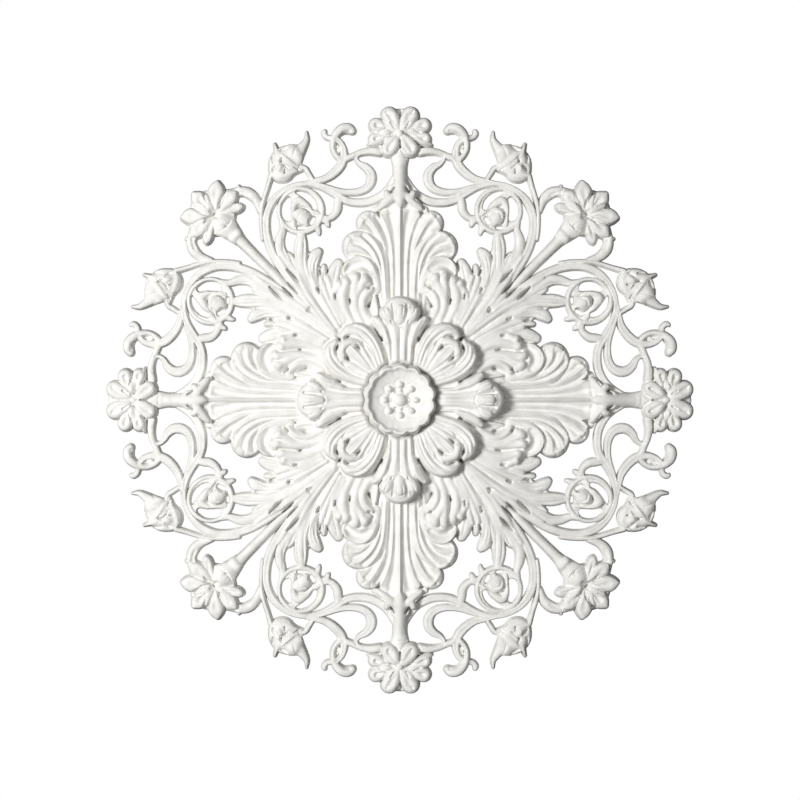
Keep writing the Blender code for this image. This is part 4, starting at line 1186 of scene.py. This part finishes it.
ORNAMENTS: tuple[Ornament, ...] = (
    Scrollwork(), OuterBud(), Spiral(), AxisFlower(), MiddleLobe(), CornerLeaf(), CornerFlower(),
    LargeLeaf(), LobeEnd(), LeafTip(), InnerTier(), InnerTip(),
)


def carved_heights(x: np.ndarray, y: np.ndarray) -> np.ndarray:
    """Carve the whole face.

    Args:
        x: Places across the drawing.
        y: Places along it.

    Returns:
        The height of the face at each place, below zero where there is no casting.
    """
    across, along = np.abs(x), np.abs(y)
    relief = Relief(np.minimum(across, along), np.maximum(across, along))
    for ornament in ORNAMENTS:
        ornament.carve(relief)
    relief.x, relief.y = x, y
    Rosette().carve(relief)
    return relief.height


def linear(hex_colour: str) -> Colour:
    """Return the linear values that a shader takes for an sRGB hex colour."""
    parts = [int(hex_colour[i:i + 2], 16) / 255 for i in (1, 3, 5)]
    return (*(p / 12.92 if p <= 0.04045 else ((p + 0.055) / 1.055) ** 2.4 for p in parts), 1.0)


def add_node(
    tree: bpy.types.NodeTree, kind: str, settings: dict | None = None, **links: bpy.types.NodeSocket
) -> bpy.types.Node:
    """Add a node with its settings and links.

    Args:
        tree: The node tree.
        kind: The node's type, such as ShaderNodeMath.
        settings: Values by name, for the node's own properties or, where it has none, its sockets.
        links: Output sockets by the name of the input that they feed, with _ for a space.

    Returns:
        The new node.
    """
    node = tree.nodes.new(kind)
    for name, value in (settings or {}).items():
        if hasattr(node, name):
            setattr(node, name, value)
        else:
            node.inputs[name].default_value = value
    for name, output in links.items():
        tree.links.new(output, node.inputs[name.replace("_", " ")])
    return node


@dataclass(frozen=True)
class CastPlaster:
    """Cast gypsum plaster with a thin coat of matt white distemper.

    The eye gets a chalky white with no gloss, a fine grain of brushed-on coating, and slightly warmer
    and duller tone in patches, where the coat lies thicker. Depths are in metres.
    """

    name: str = "cast_plaster_matt_white"
    coat: str = "#EFEEEB"
    hollow: str = "#E4E2DD"
    hollow_below: float = 0.3
    coat_above: float = 0.62
    roughness: float = 0.86
    specular: float = 0.12
    grain_mm: float = 0.9
    grain_detail: float = 2.0
    unevenness_mm: float = 14.0
    unevenness_detail: float = 3.0
    grain_depth: float = 0.00006
    uneven_depth: float = 0.00025

    def material(self) -> bpy.types.Material:
        """Mix the finish.

        Returns:
            The finish as a node material.
        """
        finish = bpy.data.materials.new(self.name)
        finish.use_nodes = True
        tree = finish.node_tree
        shader = tree.nodes["Principled BSDF"]
        shader.inputs["Roughness"].default_value = self.roughness
        shader.inputs["Specular IOR Level"].default_value = self.specular
        place = add_node(tree, "ShaderNodeTexCoord").outputs["Object"]
        grain_settings = {"Scale": MM_PER_METRE / self.grain_mm, "Detail": self.grain_detail}
        grain = add_node(tree, "ShaderNodeTexNoise", grain_settings, Vector=place)
        uneven_settings = {"Scale": MM_PER_METRE / self.unevenness_mm, "Detail": self.unevenness_detail}
        uneven = add_node(tree, "ShaderNodeTexNoise", uneven_settings, Vector=place)
        tone = add_node(tree, "ShaderNodeValToRGB", None, Fac=uneven.outputs["Fac"])
        stops = tone.color_ramp.elements
        stops[0].position = self.hollow_below
        stops[0].color = linear(self.hollow)
        stops[1].position = self.coat_above
        stops[1].color = linear(self.coat)
        tree.links.new(tone.outputs["Color"], shader.inputs["Base Color"])
        broad = add_node(
            tree, "ShaderNodeBump", {"Distance": self.uneven_depth}, Height=uneven.outputs["Fac"],
        )
        fine = add_node(
            tree, "ShaderNodeBump", {"Distance": self.grain_depth},
            Height=grain.outputs["Fac"], Normal=broad.outputs["Normal"],
        )
        tree.links.new(fine.outputs["Normal"], shader.inputs["Normal"])
        return finish


@dataclass(frozen=True)
class FloorPaint:
    """Matt emulsion paint, rolled on: the eye gets an even pale floor with no gloss and no grain."""

    name: str = "studio_floor_matt_paint"
    colour: str = "#F4F4F3"
    roughness: float = 0.9

    def material(self) -> bpy.types.Material:
        """Mix the paint.

        Returns:
            The paint as a node material.
        """
        paint = bpy.data.materials.new(self.name)
        paint.use_nodes = True
        shader = paint.node_tree.nodes["Principled BSDF"]
        shader.inputs["Base Color"].default_value = linear(self.colour)
        shader.inputs["Roughness"].default_value = self.roughness
        return paint


def enclosed_faces(places: np.ndarray, lines: list[tuple[int, int]]) -> list[list[int]]:
    """Fill a flat outline that has openings in it.

    Args:
        places: The outline's and the openings' points, as x and y.
        lines: The edges between them.

    Returns:
        Triangles between the points, inside the outline and outside the openings.
    """
    found = delaunay_2d_cdt([Vector(place) for place in places], lines, [], ENCLOSED, NO_DISTANCE)
    sources = found[3]
    faces = [[sources[corner][0] for corner in face] for face in found[2]]
    start, end = (places[[line[side] for line in lines]] for side in (0, 1))
    kept = []
    for face in faces:
        x, y = places[face].mean(axis=0)
        crossed = np.nonzero((start[:, 1] > y) != (end[:, 1] > y))[0]
        a, b = start[crossed], end[crossed]
        beyond = a[:, 0] + (b[:, 0] - a[:, 0]) * (y - a[:, 1]) / (b[:, 1] - a[:, 1]) > x
        if beyond.sum() % 2:
            kept.append(face)
    return kept


@dataclass
class Casting:
    """The casting itself: the carved face, its sides and its flat back, in one closed mesh.

    Attributes:
        diameter: The rose's width in metres.
        grid_step: Spacing of the grid that is carved, in drawing units.
        margin: How far the grid goes beyond the mirror planes.
        reach: How far the quarter goes out from the middle.
        faces_of_quarter: How many triangles the quarter keeps.
        seam: How near a plane an open edge is put exactly into it, in drawing units.
        merge: How near two mirrored points are joined, in metres.
        cut_threshold: How near a cut a point counts as lying on it.
        crease_angle: The angle in degrees above which an edge stays sharp.
    """

    diameter: float
    grid_step: float = 0.6
    margin: float = 3.0
    reach: float = 296.0
    faces_of_quarter: int = 45500
    seam: float = 0.3
    merge: float = 0.0001
    cut_threshold: float = 1e-5
    crease_angle: float = 50.0

    @property
    def unit(self) -> float:
        """Return a drawing unit in metres."""
        return self.diameter / DRAWING_WIDTH

    def build(self) -> bpy.types.Object:
        """Model the casting.

        Returns:
            The casting, turned face down with its back at z = 0.
        """
        rose = self._carved_quarter()
        self._thin_out(rose)
        self._settle_edges(rose)
        self._mirror(rose)
        self._close_back(rose)
        self._hang(rose)
        return rose

    def _carved_quarter(self) -> bpy.types.Object:
        """Carve one quarter of the face out of a flat grid.

        Returns:
            The quarter as an open sheet, still in drawing units.
        """
        count = int((self.reach + self.margin) / self.grid_step)
        side = count * self.grid_step
        bpy.ops.object.select_all(action="DESELECT")
        bpy.ops.mesh.primitive_grid_add(x_subdivisions=count, y_subdivisions=count, size=side)
        quarter = bpy.context.object
        quarter.name = quarter.data.name = "rose_carving"
        middle = side / 2 - self.margin
        quarter.data.transform(Matrix.Translation((middle, middle, 0)))
        places = np.empty(len(quarter.data.vertices) * 3)
        quarter.data.vertices.foreach_get("co", places)
        places = places.reshape(-1, 3)
        places[:, 2] = carved_heights(places[:, 0], places[:, 1])
        quarter.data.vertices.foreach_set("co", places.ravel())
        bpy.ops.object.mode_set(mode="EDIT")
        bpy.ops.mesh.select_all(action="SELECT")
        bpy.ops.mesh.quads_convert_to_tris()
        for normal in ((0, 0, -1), (-1, 0, 0), (0, -1, 0)):
            bpy.ops.mesh.select_all(action="SELECT")
            bpy.ops.mesh.bisect(
                plane_co=(0, 0, 0), plane_no=normal, clear_outer=True, threshold=self.cut_threshold,
            )
        bpy.ops.mesh.select_all(action="SELECT")
        bpy.ops.mesh.quads_convert_to_tris()
        bpy.ops.object.mode_set(mode="OBJECT")
        return quarter

    def _thin_out(self, sheet: bpy.types.Object) -> None:
        """Leave faces only where the carving turns.

        Args:
            sheet: The carved quarter.
        """
        thinner = sheet.modifiers.new("thin out", "DECIMATE")
        thinner.ratio = self.faces_of_quarter / len(sheet.data.polygons)
        bpy.ops.object.modifier_apply(modifier=thinner.name)

    def _settle_edges(self, sheet: bpy.types.Object) -> None:
        """Put the open edges exactly into the back and the mirror planes, and drop what lies in them.

        Args:
            sheet: The carved quarter.
        """
        mesh = sheet.data
        places = np.empty(len(mesh.vertices) * 3)
        mesh.vertices.foreach_get("co", places)
        places = places.reshape(-1, 3)
        ends = np.empty(len(mesh.edges) * 2, int)
        mesh.edges.foreach_get("vertices", ends)
        edge_of_corner = np.empty(len(mesh.loops), int)
        mesh.loops.foreach_get("edge_index", edge_of_corner)
        uses = np.bincount(edge_of_corner, minlength=len(mesh.edges))
        rim = np.unique(ends.reshape(-1, 2)[uses == 1])
        edge = places[rim]
        edge[edge < self.seam] = 0.0
        places[rim] = edge
        mesh.vertices.foreach_set("co", places.ravel())
        mesh.update()
        vertex_of_corner = np.empty(len(mesh.loops), int)
        mesh.loops.foreach_get("vertex_index", vertex_of_corner)
        bpy.ops.object.mode_set(mode="EDIT")
        bpy.ops.mesh.select_mode(type="FACE")
        bpy.ops.object.mode_set(mode="OBJECT")
        flat = (places[vertex_of_corner.reshape(-1, 3)] == 0).all(axis=1).any(axis=1)
        mesh.polygons.foreach_set("select", flat)
        bpy.ops.object.mode_set(mode="EDIT")
        bpy.ops.mesh.delete(type="FACE")
        bpy.ops.object.mode_set(mode="OBJECT")

    def _mirror(self, sheet: bpy.types.Object) -> None:
        """Mirror the quarter in both axes, joined at the seams, at its real size.

        Args:
            sheet: The carved quarter, which becomes the whole face.
        """
        sheet.data.transform(Matrix.Scale(self.unit, 4))
        whole = sheet.modifiers.new("axes", "MIRROR")
        whole.use_axis = (True, True, False)
        whole.merge_threshold = self.merge
        bpy.ops.object.modifier_apply(modifier=whole.name)

    def _close_back(self, sheet: bpy.types.Object) -> None:
        """Fill the flat back between all the open edges, round the openings.

        Args:
            sheet: The whole face, which becomes a closed casting.
        """
        bm = bmesh.new()
        bm.from_mesh(sheet.data)
        rim = [edge for edge in bm.edges if edge.is_boundary]
        verts = list(dict.fromkeys(vert for edge in rim for vert in edge.verts))
        number = {vert: i for i, vert in enumerate(verts)}
        lines = [(number[edge.verts[0]], number[edge.verts[1]]) for edge in rim]
        for face in enclosed_faces(np.array([vert.co[:2] for vert in verts]), lines):
            bm.faces.new([verts[corner] for corner in face])
        bm.to_mesh(sheet.data)
        bm.free()
        bpy.ops.object.mode_set(mode="EDIT")
        bpy.ops.mesh.select_all(action="SELECT")
        bpy.ops.mesh.normals_make_consistent(inside=False)
        bpy.ops.object.mode_set(mode="OBJECT")

    def _hang(self, rose: bpy.types.Object) -> None:
        """Turn the casting face down, with its place in its mesh.

        Args:
            rose: The closed casting.
        """
        rose.data.transform(Matrix.Rotation(pi, 4, "X"))
        rose.data.update()
        bpy.ops.object.shade_smooth_by_angle(angle=radians(self.crease_angle))


@dataclass
class Studio:
    """Floor, light and camera for a picture taken straight up at the rose.

    The face is lit by one soft lamp from the left and by what the pale floor gives back. Lengths are in
    metres, apart from the lens in millimetres, and the key lamp's power is in watts.
    """

    centre: Vector
    floor_depth: float = 3.3
    floor_size: float = 4.5
    fill_strength: float = 0.05
    key_direction: tuple[float, float, float] = (-0.8, -0.1, -1.2)
    key_power: float = 64.0
    key_size: float = 0.7
    key_distance: float = 2.6
    top_strength: float = 1.5
    top_angle: float = 80.0
    lens: float = 100.0
    frame_width: float = 0.959
    view_depth: float = 100.0

    def build(self) -> None:
        """Set up the whole studio."""
        self._floor()
        self._world()
        self._key_light()
        self._top_light()
        self._camera()
        bpy.context.scene.view_settings.view_transform = "Standard"

    def _floor(self) -> None:
        """Lay the plain pale floor far below the rose."""
        bpy.ops.object.select_all(action="DESELECT")
        bpy.ops.mesh.primitive_plane_add(size=self.floor_size)
        floor = bpy.context.object
        floor.name = floor.data.name = "studio_floor"
        floor.data.transform(Matrix.Translation((0, 0, -self.floor_depth)))
        floor.data.materials.append(FloorPaint().material())
        floor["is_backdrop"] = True

    def _world(self) -> None:
        """Set the rose against plain white, with a little even light from all round."""
        world = bpy.data.worlds.new("studio_white")
        world.use_nodes = True
        tree = world.node_tree
        backdrop = tree.nodes["Background"]
        backdrop.inputs["Color"].default_value = WHITE
        fill = add_node(tree, "ShaderNodeBackground", {"Color": WHITE, "Strength": self.fill_strength})
        seen = add_node(tree, "ShaderNodeLightPath").outputs["Is Camera Ray"]
        mix = add_node(tree, "ShaderNodeMixShader", None, Fac=seen)
        tree.links.new(fill.outputs["Background"], mix.inputs[1])
        tree.links.new(backdrop.outputs["Background"], mix.inputs[2])
        tree.links.new(mix.outputs["Shader"], tree.nodes["World Output"].inputs["Surface"])
        bpy.context.scene.world = world

    def _key_light(self) -> None:
        """Set up a round soft lamp below the rose, to the left of the picture."""
        lamp = bpy.data.lights.new("key_softbox", "AREA")
        lamp.shape = "DISK"
        lamp.size = self.key_size
        lamp.energy = self.key_power
        light = bpy.data.objects.new("key_softbox", lamp)
        light.location = self.centre + self.key_distance * Vector(self.key_direction).normalized()
        light.rotation_euler = (self.centre - light.location).to_track_quat("-Z", "Y").to_euler()
        bpy.context.scene.collection.objects.link(light)

    def _top_light(self) -> None:
        """Light the rose's back and the floor softly from above, so that the floor lights the face."""
        lamp = bpy.data.lights.new("top_light", "SUN")
        lamp.energy = self.top_strength
        lamp.angle = radians(self.top_angle)
        bpy.context.scene.collection.objects.link(bpy.data.objects.new("top_light", lamp))

    def _camera(self) -> None:
        """Look straight up at the face, with the drawing's y upwards in the picture."""
        lens = bpy.data.cameras.new("camera")
        lens.lens = self.lens
        lens.clip_end = self.view_depth
        camera = bpy.data.objects.new("camera", lens)
        distance = self.frame_width * self.lens / lens.sensor_width
        camera.matrix_world = Matrix.Translation((0, 0, -distance)) @ Matrix.Rotation(pi, 4, "X")
        bpy.context.scene.collection.objects.link(camera)
        bpy.context.scene.camera = camera


def main() -> None:
    """Build the rose and its studio and report each piece."""
    logging.basicConfig(level=logging.INFO, format="%(name)s: %(message)s")
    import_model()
    cad_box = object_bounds()
    low, high = (Vector(corner) for corner in cad_box)
    rose = Casting(diameter=high.x - low.x).build()
    rose.data.materials.append(CastPlaster().material())
    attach(rose, "root")
    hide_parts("rose")
    LOG.info("%s: %d faces", rose.name, len(rose.data.polygons))
    Studio(centre=(low + high) / 2).build()


if __name__ == "__main__":
    main()
